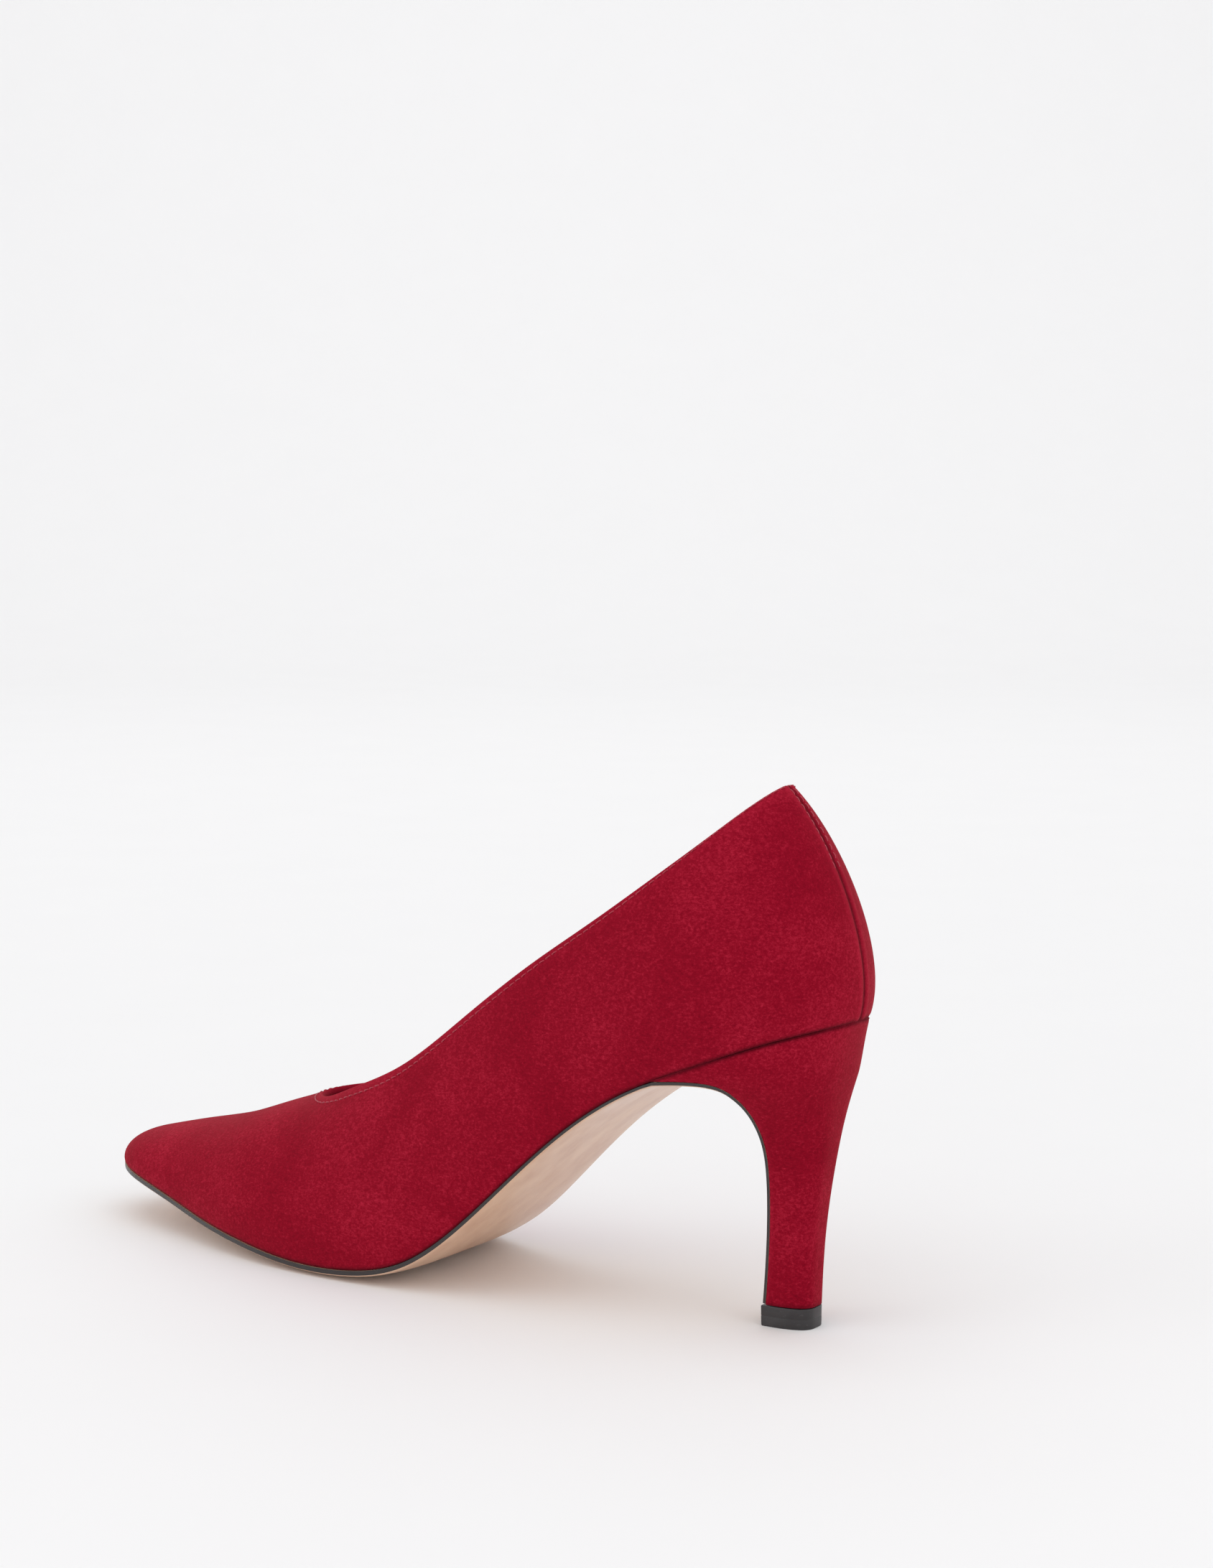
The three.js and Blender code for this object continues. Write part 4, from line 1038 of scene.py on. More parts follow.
@dataclass
class Upper:
    """The suede upper, its folded topline and its seams."""

    shoe: Shoe
    suede: float = 1.2
    fold: float = 2.1
    fold_depth: float = 2.4
    fold_rise: float = 0.55
    rows: int = 64
    seam_groove: float = 0.3
    seam_half_width: float = 0.55
    seam_zone: float = 40.0
    ridge_at: float = 1.7
    ridge_width: float = 0.8
    ridge_rise: float = 0.14
    # strength of the painted highlight on the ridges beside the seam
    ridge_highlight_tone: float = 0.8
    tuck: float = 0.25
    tuck_height: float = 0.6
    # height of the painted shade band along the foot of the upper
    crease_shade_height: float = 0.75
    # width and strength of the painted highlight along the rolled topline
    rim_highlight_width: float = 2.0
    rim_highlight_tone: float = 0.6
    hem_inset: float = 1.35
    margin_width: float = 5.0
    margin_height: float = 0.9
    stitch_gap: float = 2.35
    stitch_lift: float = 0.02
    back_row_at: float = 1.9

    BACK_ROW = (0.62, 0.985)

    def turns(self, throat: float) -> Grid:
        """Turns of the columns on one side, close where the shape is tight."""
        heel = np.linspace(0, 0.08, 14)
        body = np.linspace(0.08, throat - 0.12, 96)[1:]
        near = throat - 0.12 * np.linspace(1, 0, 34)[1:] ** 2.2
        toe = np.linspace(throat, math.pi, 96)[1:]
        return np.concatenate([heel, body, near, toe])

    def rim(self, turn: Grid, lower: float = 0.0) -> tuple[Grid, Grid, Grid, Grid]:
        """The topline as a closed line with its own directions.

        Args:
            turn: turns from the throat on the inner side, round the heel, to the outer side.
            lower: how far down the wall the line lies.

        Returns:
            Points, outward normals, directions along it, and directions up off the edge.
        """
        share = self.shoe.last.top_share(turn, lower)
        points = self.shoe.last.wall(turn, share)
        normal = self.shoe.last.normal(turn, share)
        ahead = np.roll(points, -1, axis=0)
        behind = np.roll(points, 1, axis=0)
        behind[0] = points[-2]
        ahead[-1] = points[1]
        along = unit(ahead - behind)
        normal = unit(normal - along * np.sum(normal * along, axis=1, keepdims=True))
        up = unit(np.cross(normal, along))
        up = np.where((up[:, 2:3] < 0) & (np.abs(turn)[:, None] < 1.2), -up, up)
        sign = np.sign(np.sum(up * self.off_edge(points), axis=1, keepdims=True))
        return points, normal, along, up * np.where(sign == 0, 1, sign)

    def off_edge(self, points: Grid) -> Grid:
        """A rough direction from the topline into the opening."""
        centre = np.array([self.shoe.last.throat_x * 0.55, 4.0, 118.0])
        return centre - points

    def seam(self, grid: Grid, normal: Grid) -> tuple[Grid, Grid, Grid]:
        """Presses the centre-back seam into the outer face.

        Args:
            grid: outer points.
            normal: their normals.

        Returns:
            The moved points, the groove's painted shade, and the painted highlight on the ridges
            beside it.
        """
        offset = np.abs(grid[..., 1])
        at_back = (grid[..., 0] < self.seam_zone).astype(float)
        # the groove is pressed in and painted with shade; the ridges beside it are raised and painted
        # with a highlight
        groove = np.exp(-((offset / self.seam_half_width) ** 2)) * at_back
        ridge = np.exp(-(((offset - self.ridge_at) / self.ridge_width) ** 2)) * at_back
        press = ridge * self.ridge_rise - groove * self.seam_groove
        return grid + normal * press[..., None], groove, ridge * self.ridge_highlight_tone

    def build_suede(self) -> Piece:
        """The suede as one closed skin: outer face, folded topline, inner face and margin."""
        last, place = self.shoe.last, self.shoe.place
        throat = last.throat_angle()
        turn = self.turns(throat)
        skin = Skin("suede_upper_skin")
        open_part = turn <= throat + 1e-9
        rise = np.linspace(0, 1, self.rows) ** 1.15
        for side in Side:
            signed = turn * side.value
            top = last.top_share(signed)
            share = rise[None, :] * top[:, None]
            wide = signed[:, None] + 0 * share
            outer = last.wall(wide, share)
            normal = last.normal(wide, share)
            outer, groove, ridge = self.seam(outer, normal)
            lift = outer[..., 2] - outer[:, :1, 2]
            tuck = self.tuck * np.exp(-((lift / self.tuck_height) ** 2))
            outer = outer - normal * tuck[..., None]
            # painted shade: the seam groove and a band along the foot of the upper, where it meets
            # the sole
            crease = np.clip(groove + np.exp(-((lift / self.crease_shade_height) ** 2)), 0, 1)
            from_rim = np.linalg.norm(outer - outer[:, -1:], axis=-1)
            # painted highlight: a paler band along the rolled topline, added to the ridge highlight
            tone_shift = np.exp(-((from_rim / self.rim_highlight_width) ** 2)) * open_part[:, None]
            ridge = np.clip(ridge + tone_shift * self.rim_highlight_tone, 0, 1)
            skin.add(place(outer), flip=side is Side.MEDIAL, crease=crease, ridge=ridge)
            inner_top = np.where(open_part, 0.97, 1.0)
            inner = last.under(wide, share * inner_top[:, None], self.suede)
            inner[:, 0] = outer[:, 0] + [0, 0, self.margin_height]
            # painted shade over the inside face of the suede
            skin.add(place(inner), flip=side is Side.LATERAL, crease=0.3)
            tucked = self.margin(signed, outer[:, 0])
            hem = np.stack([outer[:, 0], *tucked, inner[:, 0]], axis=1)
            # painted shade on the margin turned in under the insole
            skin.add(place(hem), flip=side is Side.LATERAL, crease=1.0)
        self.add_fold(skin, turn[open_part])
        piece = skin.build(weld=3e-6)
        self.shoe.wardrobe.dress(piece, Finish.SUEDE)
        return self.shoe.keep(piece, "suede", "suede_upper")

    def margin(self, signed: Grid, edge: Grid) -> list[Grid]:
        """The suede turned in under the insole, as two lines along its inner edge."""
        last = self.shoe.last
        spine_x = np.clip(edge[:, 0], 26, last.length - 24)
        angle = last.angle_at(spine_x)
        spine_y = (last.outline(angle) + last.outline(2 * math.pi - angle)) / 2
        way = stack(spine_x, spine_y, 0) - edge * [1, 1, 0]
        room = np.linalg.norm(way, axis=1, keepdims=True)
        low = edge + way * np.minimum(self.margin_width / room, 0.7)
        low[:, 2] = last.seat_z(low[:, 0], low[:, 1])
        return [low, low + [0, 0, self.margin_height]]

    def add_fold(self, skin: Skin, turn: Grid) -> None:
        """Rolls the suede over the topline and down inside."""
        signed = np.concatenate([-turn[::-1], turn[1:]])
        points, normal, _, up = self.rim(signed)
        points, _, _ = self.seam(points, normal)
        radius = self.fold / 2
        centre = points - normal * radius
        roll = [centre + radius * (math.cos(a) * normal + math.sin(a) * up * self.fold_rise)
                for a in np.linspace(0, math.pi, 11)]
        inside = roll[-1]
        down = [inside - up * d for d in np.linspace(0, self.fold_depth, 5)[1:]]
        back = [inside + normal * (self.fold - self.suede) * s - up * self.fold_depth
                for s in (0.5, 1.0)]
        grid = np.stack([*roll, *down, *back], axis=1)
        # painted highlight over the rolled topline; no painted shade here
        skin.add(self.shoe.place(grid), crease=0.0, ridge=0.5)

    def build_topline_stitches(self) -> Piece:
        """The row of stitches that holds the folded topline."""
        last = self.shoe.last
        throat = last.throat_angle(self.hem_inset)
        turn = self.turns(throat)
        turn = turn[turn <= throat]
        signed = np.concatenate([-turn[::-1], turn[1:]])
        points, normal, along, _ = self.rim(signed, self.hem_inset)
        return self.sew_line("topline_stitches", points, normal, along)

    def sew_line(self, name: str, points: Grid, normal: Grid, along: Grid) -> Piece:
        """Sews evenly spaced stitches down a line on the suede.

        Args:
            name: the piece's name.
            points: the line.
            normal: directions away from the suede.
            along: directions down the line.

        Returns:
            The row of stitches.
        """
        places = spaced(points, self.stitch_gap)
        index = np.arange(len(points))

        def at(values: Grid) -> Grid:
            """Values read between the line's points."""
            return np.stack([np.interp(places, index, values[:, k]) for k in range(3)], axis=1)

        out = unit(at(normal))
        spots = self.shoe.place(at(points) + out * self.stitch_lift)
        thread = self.shoe.wardrobe.get(Finish.THREAD)
        piece = self.shoe.stitches.sew(name, spots, at(along), out, thread)
        return self.shoe.keep(piece, "suede")

    def build_back_stitches(self) -> list[Piece]:
        """The short rows beside the centre-back seam, under its peak."""
        last = self.shoe.last
        made = []
        for side in Side:
            share = np.linspace(*self.BACK_ROW, 60)
            turn = np.full_like(share, 0.0)
            for _ in range(30):
                points = last.wall(turn, share * last.top_share(turn))
                short = np.sign(self.back_row_at - np.abs(points[:, 1]))
                turn = turn + side.value * 0.0006 * short
            top = last.top_share(turn)
            points = last.wall(turn, share * top)
            normal = last.normal(turn, share * top)
            along = np.gradient(points, axis=0)
            name = "back_seam_stitches_" + side.name.lower()
            made.append(self.sew_line(name, points, normal, along))
        return made


@dataclass
class Lining:
    """The leather lining inside the upper, in a vamp part and a quarter part."""

    shoe: Shoe
    thick: float = 0.8
    rim_depth: float = 2.2
    full_depth: float = 3.5
    below_rim: float = 1.1
    bottom: float = 3.4
    joint: float = 0.5
    joint_gap: float = 0.002
    toe_stop: float = 0.25
    # width of the painted shade beside the joint between the two parts
    crease_shade_width: float = 1.2
    rows: int = 40

    RIM = (0.72, 0.95)

    def grid(self, turn: Grid, depth_more: float) -> Grid:
        """A face of the lining."""
        last = self.shoe.last
        low = last.share_clearing(turn, self.bottom, self.full_depth + self.thick)
        top = last.top_share(turn, self.below_rim)
        v = np.linspace(0, 1, self.rows)
        share = low[:, None] + (top - low)[:, None] * v[None, :]
        over_vamp = smooth(np.abs(turn), last.throat_angle(), last.throat_angle() + 0.2)
        rim = smooth(v, *self.RIM)[None, :] * (1 - over_vamp[:, None])
        depth = mix(self.full_depth, self.rim_depth, rim) + depth_more
        return last.under(turn[:, None] + 0 * share, share, depth)

    def build_part(self, name: str, first: float, end: float, closed_at: str, node: str) -> Piece:
        """One part of the lining.

        Args:
            name: the piece's name.
            first: angle where it starts.
            end: angle where it ends.
            closed_at: "heel" or "toe", where its two sides join.
            node: the CAD node it stands for.

        Returns:
            The piece.
        """
        last = self.shoe.last
        throat = last.throat_angle(self.below_rim)
        body = np.linspace(first, end, 110)
        near = throat - 0.12 * np.linspace(1, 0, 24) ** 2.2
        near = near[(near > first) & (near < end)]
        angle = np.unique(np.concatenate([body, near, [throat] if first < throat < end else []]))
        skin = Skin(name)
        edge = "last" if closed_at == "heel" else "first"
        for side in Side:
            turn = angle * side.value
            outer, inner = self.grid(turn, 0.0), self.grid(turn, self.thick)
            flip = side is Side.MEDIAL
            skin.add(self.shoe.place(outer), flip=flip)
            joint_at = angle[-1] if edge == "last" else angle[0]
            from_joint = np.abs(angle - joint_at) * last.length / 2
            # painted shade on the inner face, darkest at the joint with the other part
            crease = np.exp(-((from_joint / self.crease_shade_width) ** 2))
            skin.add(self.shoe.place(inner), flip=not flip,
                     crease=crease[:, None] + np.zeros(self.rows)[None, :])
            for k, turned in ((0, not flip), (-1, flip)):
                strip = np.stack([outer[:, k], inner[:, k]], axis=1)
                skin.add(self.shoe.place(strip), flip=turned)
            k = -1 if edge == "last" else 0
            cap = np.stack([outer[k], inner[k]], axis=1)
            skin.add(self.shoe.place(cap))
        piece = skin.build(weld=3e-6)
        self.shoe.wardrobe.dress(piece, Finish.LINING)
        return self.shoe.keep(piece, "lining", node)

    def build(self) -> list[Piece]:
        """Both parts."""
        joint = float(self.shoe.last.angle_at(self.joint * self.shoe.last.length))
        return [
            self.build_part("quarter_lining_leather", 0.0, joint - self.joint_gap, "heel",
                            "quarter_lining"),
            self.build_part("vamp_lining_leather", joint + self.joint_gap,
                            math.pi - self.toe_stop, "toe", "vamp_lining"),
        ]


@dataclass
class Footbed:
    """The sock leather that the foot stands on."""

    shoe: Shoe
    bottom: float = 5.8
    thick: float = 0.8
    inset: float = 4.75
    wall_clear: float = 0.55
    pillow: float = 0.5
    front: float = 0.9

    def build_sock(self) -> Piece:
        """A thin sheet over the footbed, a little domed between its edges."""
        last = self.shoe.last
        angle = np.linspace(0.0, float(last.angle_at(self.front * last.length)), 150)
        edges = []
        for side in Side:
            turn = angle * side.value
            depth = self.inset - self.wall_clear
            wall = last.under(turn, last.share_clearing(turn, self.bottom, depth), depth)
            way = last.outwards(turn)
            reach = np.sum((last.feather(turn) - wall) * way, axis=1)
            reach = np.maximum(reach + 0.2, self.inset - 0.3)
            edges.append(last.feather(turn) - way * reach[:, None])
        across = np.linspace(0, 1, 34)
        base = edges[0][:, None] * (1 - across)[None, :, None] + edges[1][:, None] * \
            across[None, :, None]
        seat = last.seat_z(base[..., 0], base[..., 1])
        dome = self.pillow * (1 - (2 * across - 1) ** 4)[None, :]
        skin = Skin("sock_leather")
        top, low = base.copy(), base.copy()
        top[..., 2] = seat + self.bottom + self.thick + dome
        low[..., 2] = seat + self.bottom
        # painted shade along the sock's sides, where it meets the lining
        edge = np.exp(-(((0.5 - np.abs(across - 0.5)) * 40) ** 2))
        skin.add(self.shoe.place(top), crease=edge[None, :] * 0.6 + np.zeros(len(angle))[:, None])
        skin.add(self.shoe.place(low), flip=True)
        for k, flip in ((0, False), (-1, True)):
            skin.add(self.shoe.place(np.stack([top[:, k], low[:, k]], axis=1)), flip=flip)
        skin.add(self.shoe.place(np.stack([top[-1], low[-1]], axis=0)))
        piece = skin.build()
        self.shoe.wardrobe.dress(piece, Finish.SOCK)
        return self.shoe.keep(piece, "sock", "sock_lining")


@dataclass
class Heel:
    """The covered heel and its top piece."""

    shoe: Shoe
    tip_length: float = 11.6
    tip_width: float = 12.8
    tip_height: float = 5.4
    gap: float = 0.12
    flap: float = 1.1
    breast_top: float = 46.0
    d_round: float = 2.2
    d_sides: float = 0.3
    rise: float = 0.4
    rise_inset: float = 1.2
    tuck: float = 0.25
    # height of the tucked band at the seat, which is also painted with shade
    crease_shade_height: float = 0.8
    seat_drop: float = 0.3
    cover_rows: int = 150

    TIP_RINGS = ((0.0, 0.92), (0.0, 0.965), (0.12, 0.985), (0.45, 0.992), (2.6, 0.996),
                 (2.7, 0.988), (2.8, 0.996), (5.1, 1.0), (5.28, 0.995), (5.42, 0.98))
    HALF_WIDTH = ((0, 1), (0.33, 1.1), (0.55, 1.3), (0.73, 1.72), (0.87, 2.65), (1, 3.9))
    BACK = ((0, 11.6), (0.25, 10.6), (0.5, 8.1), (0.75, 4.6), (0.9, 1.9), (1, 0.3))
    BREAST = ((0, 0, 0.065), (0.25, -1.2, 0.27), (0.5, -1.9, 0.5), (0.68, -1.2, 0.655),
              (0.82, 3.4, 0.775), (0.92, 12.2, 0.815))

    def __post_init__(self) -> None:
        """Builds the heel's curves."""
        last = self.shoe.last
        self.seat_end = float(last.angle_at(self.breast_top))
        self.bottom = self.tip_height + 0.3
        self.seat_back = float(last.seat_line(0.0))
        self.breast_seat = float(last.seat_line(self.breast_top))
        front = self.BACK[0][1] + self.tip_length
        knots = [[t, front + x, z * self.seat_back] for t, x, z in self.BREAST]
        knots[0][2] = self.bottom
        knots.append([1, self.breast_top, self.breast_seat - self.seat_drop])
        self.breast_x = Curve([(k[0], k[1]) for k in knots])
        self.breast_z = Curve([(k[0], k[2]) for k in knots])
        self.back_x = Curve(self.BACK)
        self.half_width = Curve([(t, w * self.tip_width / 2) for t, w in self.HALF_WIDTH])

    def face(self, turn: Grid, t: Grid) -> Grid:
        """Outer face of the heel.

        Args:
            turn: 0 to 1 from the outer breast corner round the back to the inner one.
            t: 0 at the top piece to 1 at the seat.

        Returns:
            The points.
        """
        last = self.shoe.last
        side = np.where(turn < 0.5, 1.0, -1.0)
        angle = self.seat_end * np.abs(1 - 2 * turn)
        back = np.clip(1 - last.edge_x(angle) / self.breast_top, 0, 1)
        seat = last.feather(side * angle)
        rest = smooth(t, 0.8, 1)
        round_y = side * self.half_width(t) * np.maximum(1 - back**self.d_round, 0) ** self.d_sides
        x = mix(self.breast_x(t), self.back_x(t), back)
        z = mix(self.breast_z(t), mix(self.bottom, self.seat_back - self.seat_drop, t), back)
        return stack(
            mix(x, seat[..., 0], rest * rest),
            mix(round_y, seat[..., 1], t**3 * smooth(t, 0.3, 1)),
            mix(z, seat[..., 2] - self.gap, rest),
        )

    def turns(self, count: int = 110) -> Grid:
        """Turns round the heel, close at the back and at the breast corners."""
        u = np.linspace(-1, 1, count)
        return 0.5 + 0.5 * np.sign(u) * np.abs(u) ** 0.8

    def build_cover(self) -> Piece:
        """The suede drawn over the heel, closed round the heel block."""
        turn = self.turns()
        t = np.linspace(0, 1, self.cover_rows)
        grid = self.face(turn[None, :] + 0 * t[:, None], t[:, None] + 0 * turn[None, :])
        height = grid[..., 2]
        seat = self.shoe.last.seat_z(grid[..., 0], grid[..., 1])
        below = seat - height
        # the tucked band under the seat, also painted with shade
        crease = np.exp(-((below / self.crease_shade_height) ** 2)) * smooth(t, 0.8, 0.97)[:, None]
        # painted shade at the foot of the cover, where it meets the top piece
        foot = np.exp(-((t / 0.012) ** 2))[:, None] + 0 * height
        along = np.abs(turn - 0.5)[None, :] + 0 * height
        # painted highlight on the breast corners
        corner = np.exp(-(((0.5 - along) / 0.02) ** 2))
        way = unit(np.cross(np.gradient(grid, axis=1), np.gradient(grid, axis=0)))
        centre = grid.mean(axis=1, keepdims=True)
        way = way * np.sign(np.sum(way * (grid - centre), axis=-1, keepdims=True))
        grid = grid - way * (crease * self.tuck)[..., None]
        skin = Skin("heel_cover_suede")
        skin.add(self.shoe.place(grid), crease=np.clip(crease + foot * 0.6, 0, 1),
                 ridge=corner * 0.5)
        breast = np.stack([grid[:, -1], mix(grid[:, -1], grid[:, 0], 0.5), grid[:, 0]], axis=1)
        # painted shade on the breast strip and on both caps
        skin.add(self.shoe.place(breast), crease=0.5)
        for cap in (lid(grid[0]), self.seat_cap(grid[-1])):
            skin.add(self.shoe.place(cap), crease=0.8)
        piece = skin.build(weld=3e-6)
        self.shoe.wardrobe.dress(piece, Finish.SUEDE)
        return self.shoe.keep(piece, "suede", "heel_cover")

    def seat_cap(self, row: Grid) -> Grid:
        """The top of the cover, which rises into the upper's turned-in margin.

        Args:
            row: the cover's top edge, from one breast corner round to the other.

        Returns:
            Lines across from side to side, so that no light passes under the seat.
        """
        half = len(row) // 2
        one, other = row[:half], row[::-1][:half]
        width = np.linalg.norm(one - other, axis=1, keepdims=True)
        inset = np.minimum(self.rise_inset / width, 0.5)
        lines = [mix(one, other, share) for share in (inset, 0.5, 1 - inset)]
        grow = smooth(width[:, 0], 2, 8) * smooth(np.arange(half), 0, 8)
        for line in lines:
            seat = self.shoe.last.seat_z(line[:, 0], line[:, 1]) + self.rise
            line[:, 2] = mix(line[:, 2], seat, grow)
        return np.stack([one, *lines, other], axis=1)

    def build_top_piece(self) -> Piece:
        """The hard wearing top piece, with its moulded edges eased."""
        turn = self.turns(90)
        outline = self.face(turn, np.zeros_like(turn))
        front = outline[:, 0] > outline[:, 0].max() - 0.05
        outline[front, 0] += self.flap + 0.3
        core = np.array([self.BACK[0][1] + self.tip_length * 0.5, 0.0])
        rings = []
        for z, grow in self.TIP_RINGS:
            ring = outline.copy()
            ring[:, :2] = core + (outline[:, :2] - core) * grow
            ring[:, 2] = z
            rings.append(np.vstack([ring, ring[:1]]))
        skin = Skin("top_piece_rubber")
        grid = np.stack(rings)
        skin.add(self.shoe.place(grid))
        for ring in (grid[0], grid[-1]):
            skin.add(self.shoe.place(lid(ring[:-1])))
        piece = skin.build(sharp=35.0)
        self.shoe.wardrobe.dress(piece, Finish.TOP_PIECE)
        return self.shoe.keep(piece, "top_piece", "top_piece")


@dataclass
class Outsole:
    """The leather sole, bent down the breast of the heel, with its painted edge."""

    shoe: Shoe
    heel: Heel
    thick: float = 1.6
    crown: float = 1.4
    flap: float = 1.1
    gap: float = 0.12
    ease: float = 0.35
    ease_width: float = 0.35
    tread_height: float = 1.2

    ACROSS = 46
    DOWN_BREAST = (0.985, 0.004)

    def section(self, outer: Grid, inner: Grid, normal: Grid, thick: Grid, crown: Grid,
                on_seat: bool) -> Grid:
        """Closed sections of the sole, one for each pair of edge points.

        Args:
            outer: edge points on the outer side.
            inner: edge points on the inner side.
            normal: directions down through the sole.
            thick: edge thickness of each section.
            crown: extra depth in the middle of each section.
            on_seat: whether the upper face follows the last's bottom.

        Returns:
            Sections by points by 3; the first half is the upper face.
        """
        s = 0.5 - 0.5 * np.cos(np.linspace(0, math.pi, self.ACROSS))
        line = outer[:, None] * (1 - s)[None, :, None] + inner[:, None] * s[None, :, None]
        if on_seat:
            line[..., 2] = self.shoe.last.seat_z(line[..., 0], line[..., 1])
        upper = line + normal[:, None] * self.gap
        width = np.linalg.norm(outer - inner, axis=1)[:, None]
        from_edge = np.minimum(s, 1 - s)[None, :] * width
        eased = self.ease * np.exp(-((from_edge / self.ease_width) ** 2))
        deep = thick[:, None] + crown[:, None] * (1 - (2 * s - 1) ** 4)[None, :] - eased
        lower = line + normal[:, None] * (self.gap + deep)[..., None]
        lower[..., 2] = np.maximum(lower[..., 2], 0.0)
        edge_a = mix(upper[:, :1], lower[:, :1], 0.5)
        edge_b = mix(upper[:, -1:], lower[:, -1:], 0.5)
        return np.concatenate([upper, edge_b, lower[:, ::-1], edge_a], axis=1)

    def build(self) -> Piece:
        """The whole sole as one closed loft."""
        last, heel = self.shoe.last, self.heel
        angle = np.linspace(math.pi, heel.seat_end + 0.03, 210)
        outer, inner = last.feather(angle), last.feather(-angle)
        width = outer[:, 1] - inner[:, 1]
        waist = smooth(outer[:, 0], heel.breast_top, 0.45 * last.length)
        full = smooth(width, 0, last.ball_width * 0.6)
        down = np.tile([0.0, 0.0, -1.0], (len(angle), 1))
        flat = self.section(outer, inner, down, mix(self.flap, self.thick, waist),
                            self.crown * full * waist, True)
        t = np.linspace(*self.DOWN_BREAST, 130)
        first, second = heel.face(np.zeros_like(t), t), heel.face(np.ones_like(t), t)
        up = heel.face(np.zeros_like(t), t + 0.004) - heel.face(np.zeros_like(t), t - 0.004)
        normal = unit(stack(up[:, 2], 0 * t, -up[:, 0]))
        bent = self.section(first, second, normal, np.full_like(t, self.flap), 0 * t, False)
        rings = np.concatenate([flat, bent])
        closed = np.concatenate([rings, rings[:, :1]], axis=1)
        n = self.ACROSS
        edge = np.zeros(2 * n + 3)
        edge[[n, 2 * n + 1]] = 1
        edge[[0, n - 1, 2 * n + 2]] = 1
        edge[[n + 1, 2 * n]] = 0.85
        tread = smooth(self.tread_height - closed[..., 2], 0.0, self.tread_height)
        skin = Skin("outsole_leather")
        skin.add(self.shoe.place(closed), edge=edge[None, :] + 0 * tread, tread=tread)
        skin.add(self.shoe.place(lid(closed[-1, :-1])), edge=1.0)
        piece = skin.build(weld=3e-6, sharp=40.0)
        self.shoe.wardrobe.dress(piece, Finish.SOLE)
        return self.shoe.keep(piece, "sole_leather", "outsole")


@dataclass
class HiddenParts:
    """The frame's own inner pieces, which keep their shapes and get their finishes."""

    shoe: Shoe
    nodes: dict[str, Piece]

    FINISHES = {
        "toe_puff": Finish.STIFFENER, "heel_counter": Finish.STIFFENER,
        "topline_tape": Finish.TAPE, "back_seam_tape": Finish.TAPE,
        "insole_shank_board": Finish.BOARD, "insole_forepart": Finish.BOARD,
        "steel_shank": Finish.SHANK, "bottom_filler": Finish.FILLER,
        "heel_cushion": Finish.CUSHION, "forefoot_cushion": Finish.CUSHION,
        "heel_block": Finish.HEEL_PLASTIC, "heel_dowel_tube": Finish.TUBE,
        "top_piece_pin": Finish.TUBE,
    }
    FASTENERS = ("heel_nail", "heel_screw", "shank_rivet")

    def dress(self) -> None:
        """Gives each node its finish; the nodes that a piece stands for keep theirs."""
        for name, node in self.nodes.items():
            spare = Finish.FASTENER if name.startswith(self.FASTENERS) else None
            finish = self.FINISHES.get(name, spare)
            if finish is not None:
                self.shoe.wardrobe.dress(node, finish)
                LOG.info("%s: %s", name, finish.name)


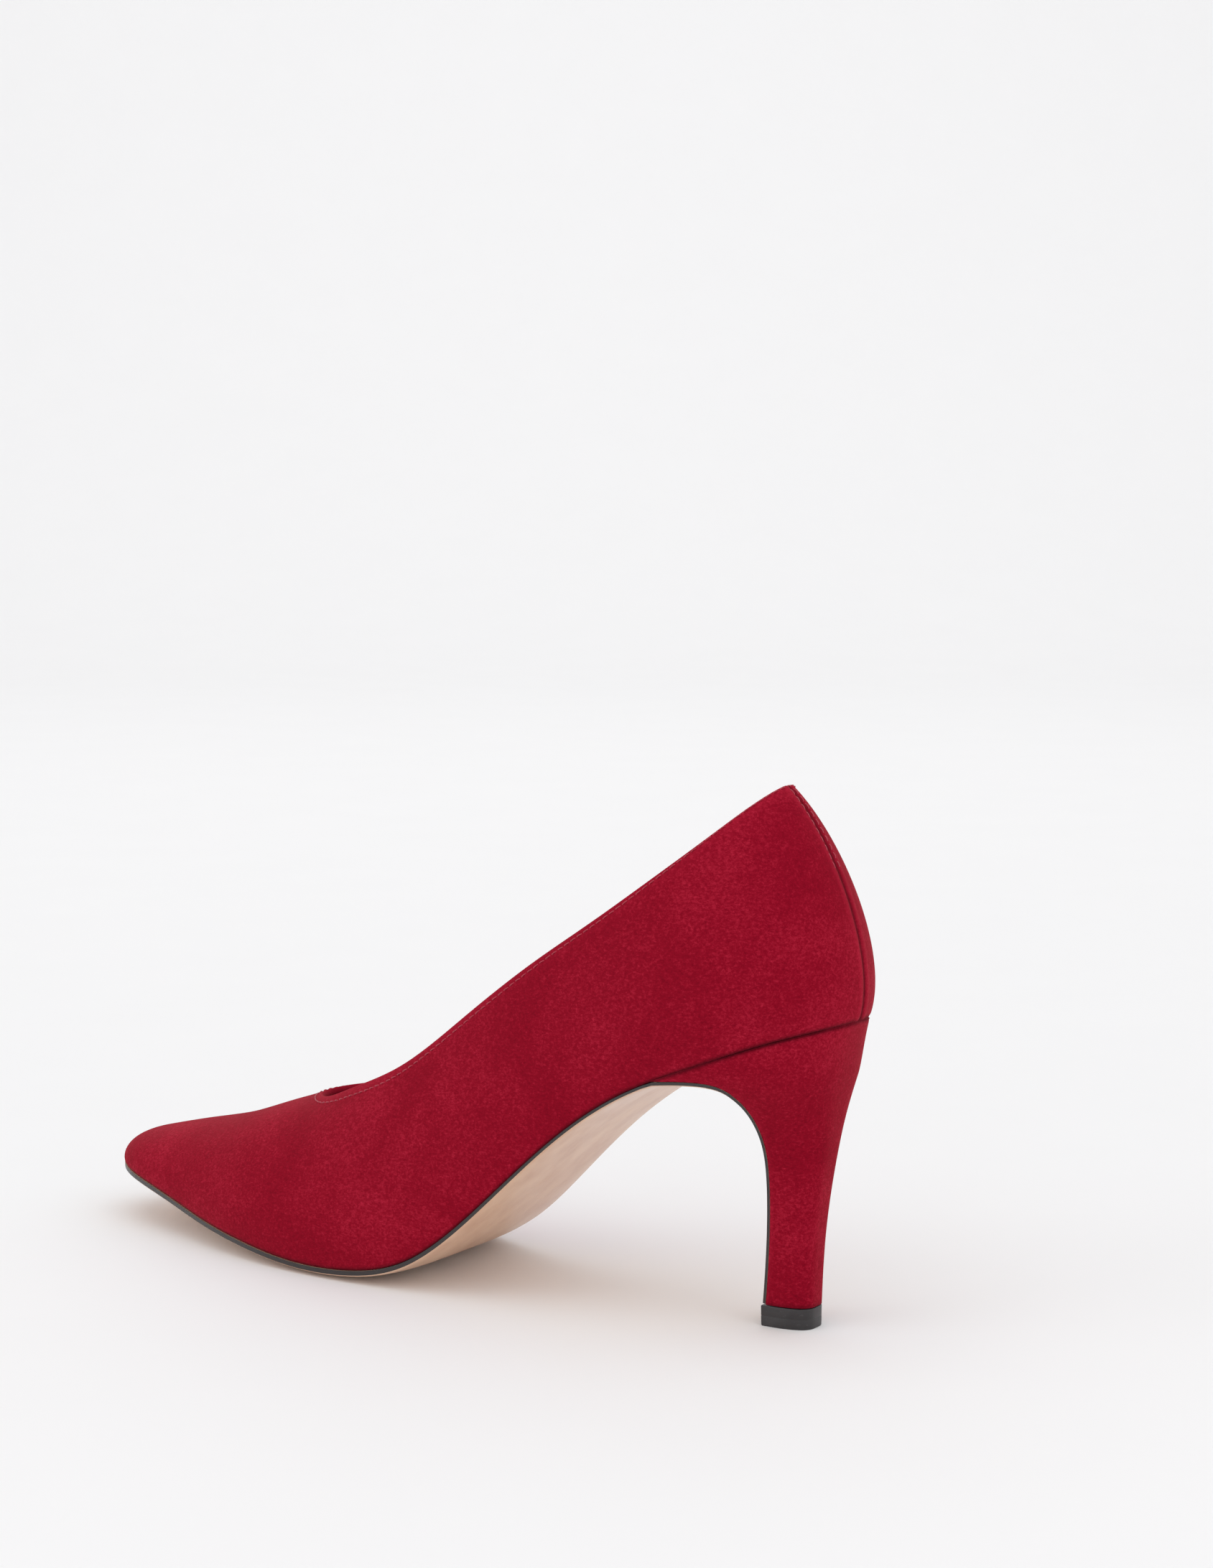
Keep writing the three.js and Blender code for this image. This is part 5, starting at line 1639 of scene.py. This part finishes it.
# ---- Studio ----
@dataclass
class Studio:
    """A pale seamless floor, soft lights and the camera."""

    centre: Vector
    backdrop: Colour = (0.93, 0.925, 0.925)
    lens: float = 70.35
    eye: tuple[float, float, float] = (-0.4869, 0.6745, 0.2218)
    heading: float = -56.71
    pitch: float = 6.1

    WALL_AT = 3.4
    COVE = 1.2
    SOFTBOXES = (
        ("overhead_softbox", (-0.1, 0.15, 1.7), 1.6, 4.4),
        ("camera_left_softbox", (0.9, 1.2, 0.9), 1.0, 1.9),
        ("camera_right_softbox", (-1.3, 0.1, 0.8), 1.0, 1.3),
    )

    def look(self) -> Vector:
        """The camera's direction over the floor."""
        turn = math.radians(self.heading)
        return Vector((math.cos(turn), math.sin(turn), 0))

    def build_floor(self) -> None:
        """A sweep: floor, cove and wall behind the shoe."""
        look = self.look()
        side = Vector((-look.y, look.x, 0))
        flat_end = self.WALL_AT - self.COVE
        profile = [(-6.0, 0.0), (flat_end, 0.0)]
        profile += [(flat_end + self.COVE * math.sin(a), self.COVE * (1 - math.cos(a)))
                    for a in np.linspace(0, math.pi / 2, 24)[1:]]
        profile.append((self.WALL_AT, 5.0))
        rows = [[look * d + side * w + Vector((0, 0, z)) for w in (-6, 6)]
                for d, z in profile]
        mesh = bpy.data.meshes.new("studio_sweep")
        points = [tuple(p) for row in rows for p in row]
        faces = [(2 * i, 2 * i + 1, 2 * i + 3, 2 * i + 2) for i in range(len(rows) - 1)]
        mesh.from_pydata(points, [], faces)
        mesh.shade_smooth()
        sweep = linked("studio_sweep", mesh)
        material, web, shader = new_material("studio paper", Roughness=0.9,
                                             Specular_IOR_Level=0.2)
        tone = web.noise(web.coords(), 60.0, 2.0, 0.5)
        darker = tuple(c * 0.985 for c in self.backdrop)
        web.feed(shader.inputs["Base Color"], web.blend(tone, self.backdrop, darker))
        mesh.materials.append(material)
        sweep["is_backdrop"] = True

    def add_light(self, name: str, place: Vector, size: float, power: float,
                  target: Vector | None = None) -> None:
        """An area light, aimed at the shoe unless a target is given."""
        data = bpy.data.lights.new(name, "AREA")
        data.shape, data.size, data.energy = "SQUARE", size, power
        lamp = linked(name, data)
        lamp.location = place
        aim = (target or self.centre) - place
        lamp.rotation_euler = aim.to_track_quat("-Z", "Y").to_euler()

    def build_lights(self) -> None:
        """Soft light from above, from both sides and on the wall, and a pale surround."""
        for name, place, size, power in self.SOFTBOXES:
            self.add_light(name, Vector(place), size, power)
        look = self.look()
        self.add_light("wall_softbox", look * 1.2 + Vector((0, 0, 2.2)), 2.0, 9.0,
                       look * self.WALL_AT + Vector((0, 0, self.COVE)))
        world = bpy.data.worlds.new("studio surround")
        world.use_nodes = True
        surround = world.node_tree.nodes["Background"]
        surround.inputs["Color"].default_value = (0.985, 0.99, 1.0, 1)
        surround.inputs["Strength"].default_value = 0.86
        bpy.context.scene.world = world

    def build_camera(self) -> None:
        """The camera, with a square 36 mm sensor."""
        data = bpy.data.cameras.new("camera")
        data.lens, data.sensor_width, data.sensor_height = self.lens, 36.0, 36.0
        data.clip_start, data.clip_end = 0.01, 50
        camera = linked("camera", data)
        camera.location = self.eye
        tilt, turn = math.radians(90 - self.pitch), math.radians(self.heading - 90)
        camera.rotation_euler = (tilt, 0, turn)
        bpy.context.scene.camera = camera
        bpy.context.scene.view_settings.view_transform = "Standard"


def note_sizes(before: tuple[Vector, Vector]) -> None:
    """Writes the frame's box and the visual model's box."""
    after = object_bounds()
    for name, (low, high) in (("cad", before), ("visual", after)):
        LOG.info("%s box: %s mm", name, [round((b - a) * 1000, 1) for a, b in zip(low, high)])


def main() -> None:
    """Builds the shoe and its studio over the frame."""
    logging.basicConfig(level=logging.INFO, format="%(name)s: %(message)s")
    for leftover in list(bpy.data.objects):
        bpy.data.objects.remove(leftover)
    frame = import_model()
    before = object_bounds()
    shoe = Shoe(Last(), Wardrobe(), StitchTree())
    upper = Upper(shoe)
    upper.build_suede()
    upper.build_topline_stitches()
    upper.build_back_stitches()
    Lining(shoe).build()
    Footbed(shoe).build_sock()
    heel = Heel(shoe)
    heel.build_cover()
    heel.build_top_piece()
    Outsole(shoe, heel).build()
    HiddenParts(shoe, frame["nodes"]).dress()
    low, high = before
    studio = Studio((low + high) / 2)
    studio.build_floor()
    studio.build_lights()
    studio.build_camera()
    note_sizes(before)
    LOG.info("%d pieces", len(shoe.made))


if __name__ == "__main__":
    main()
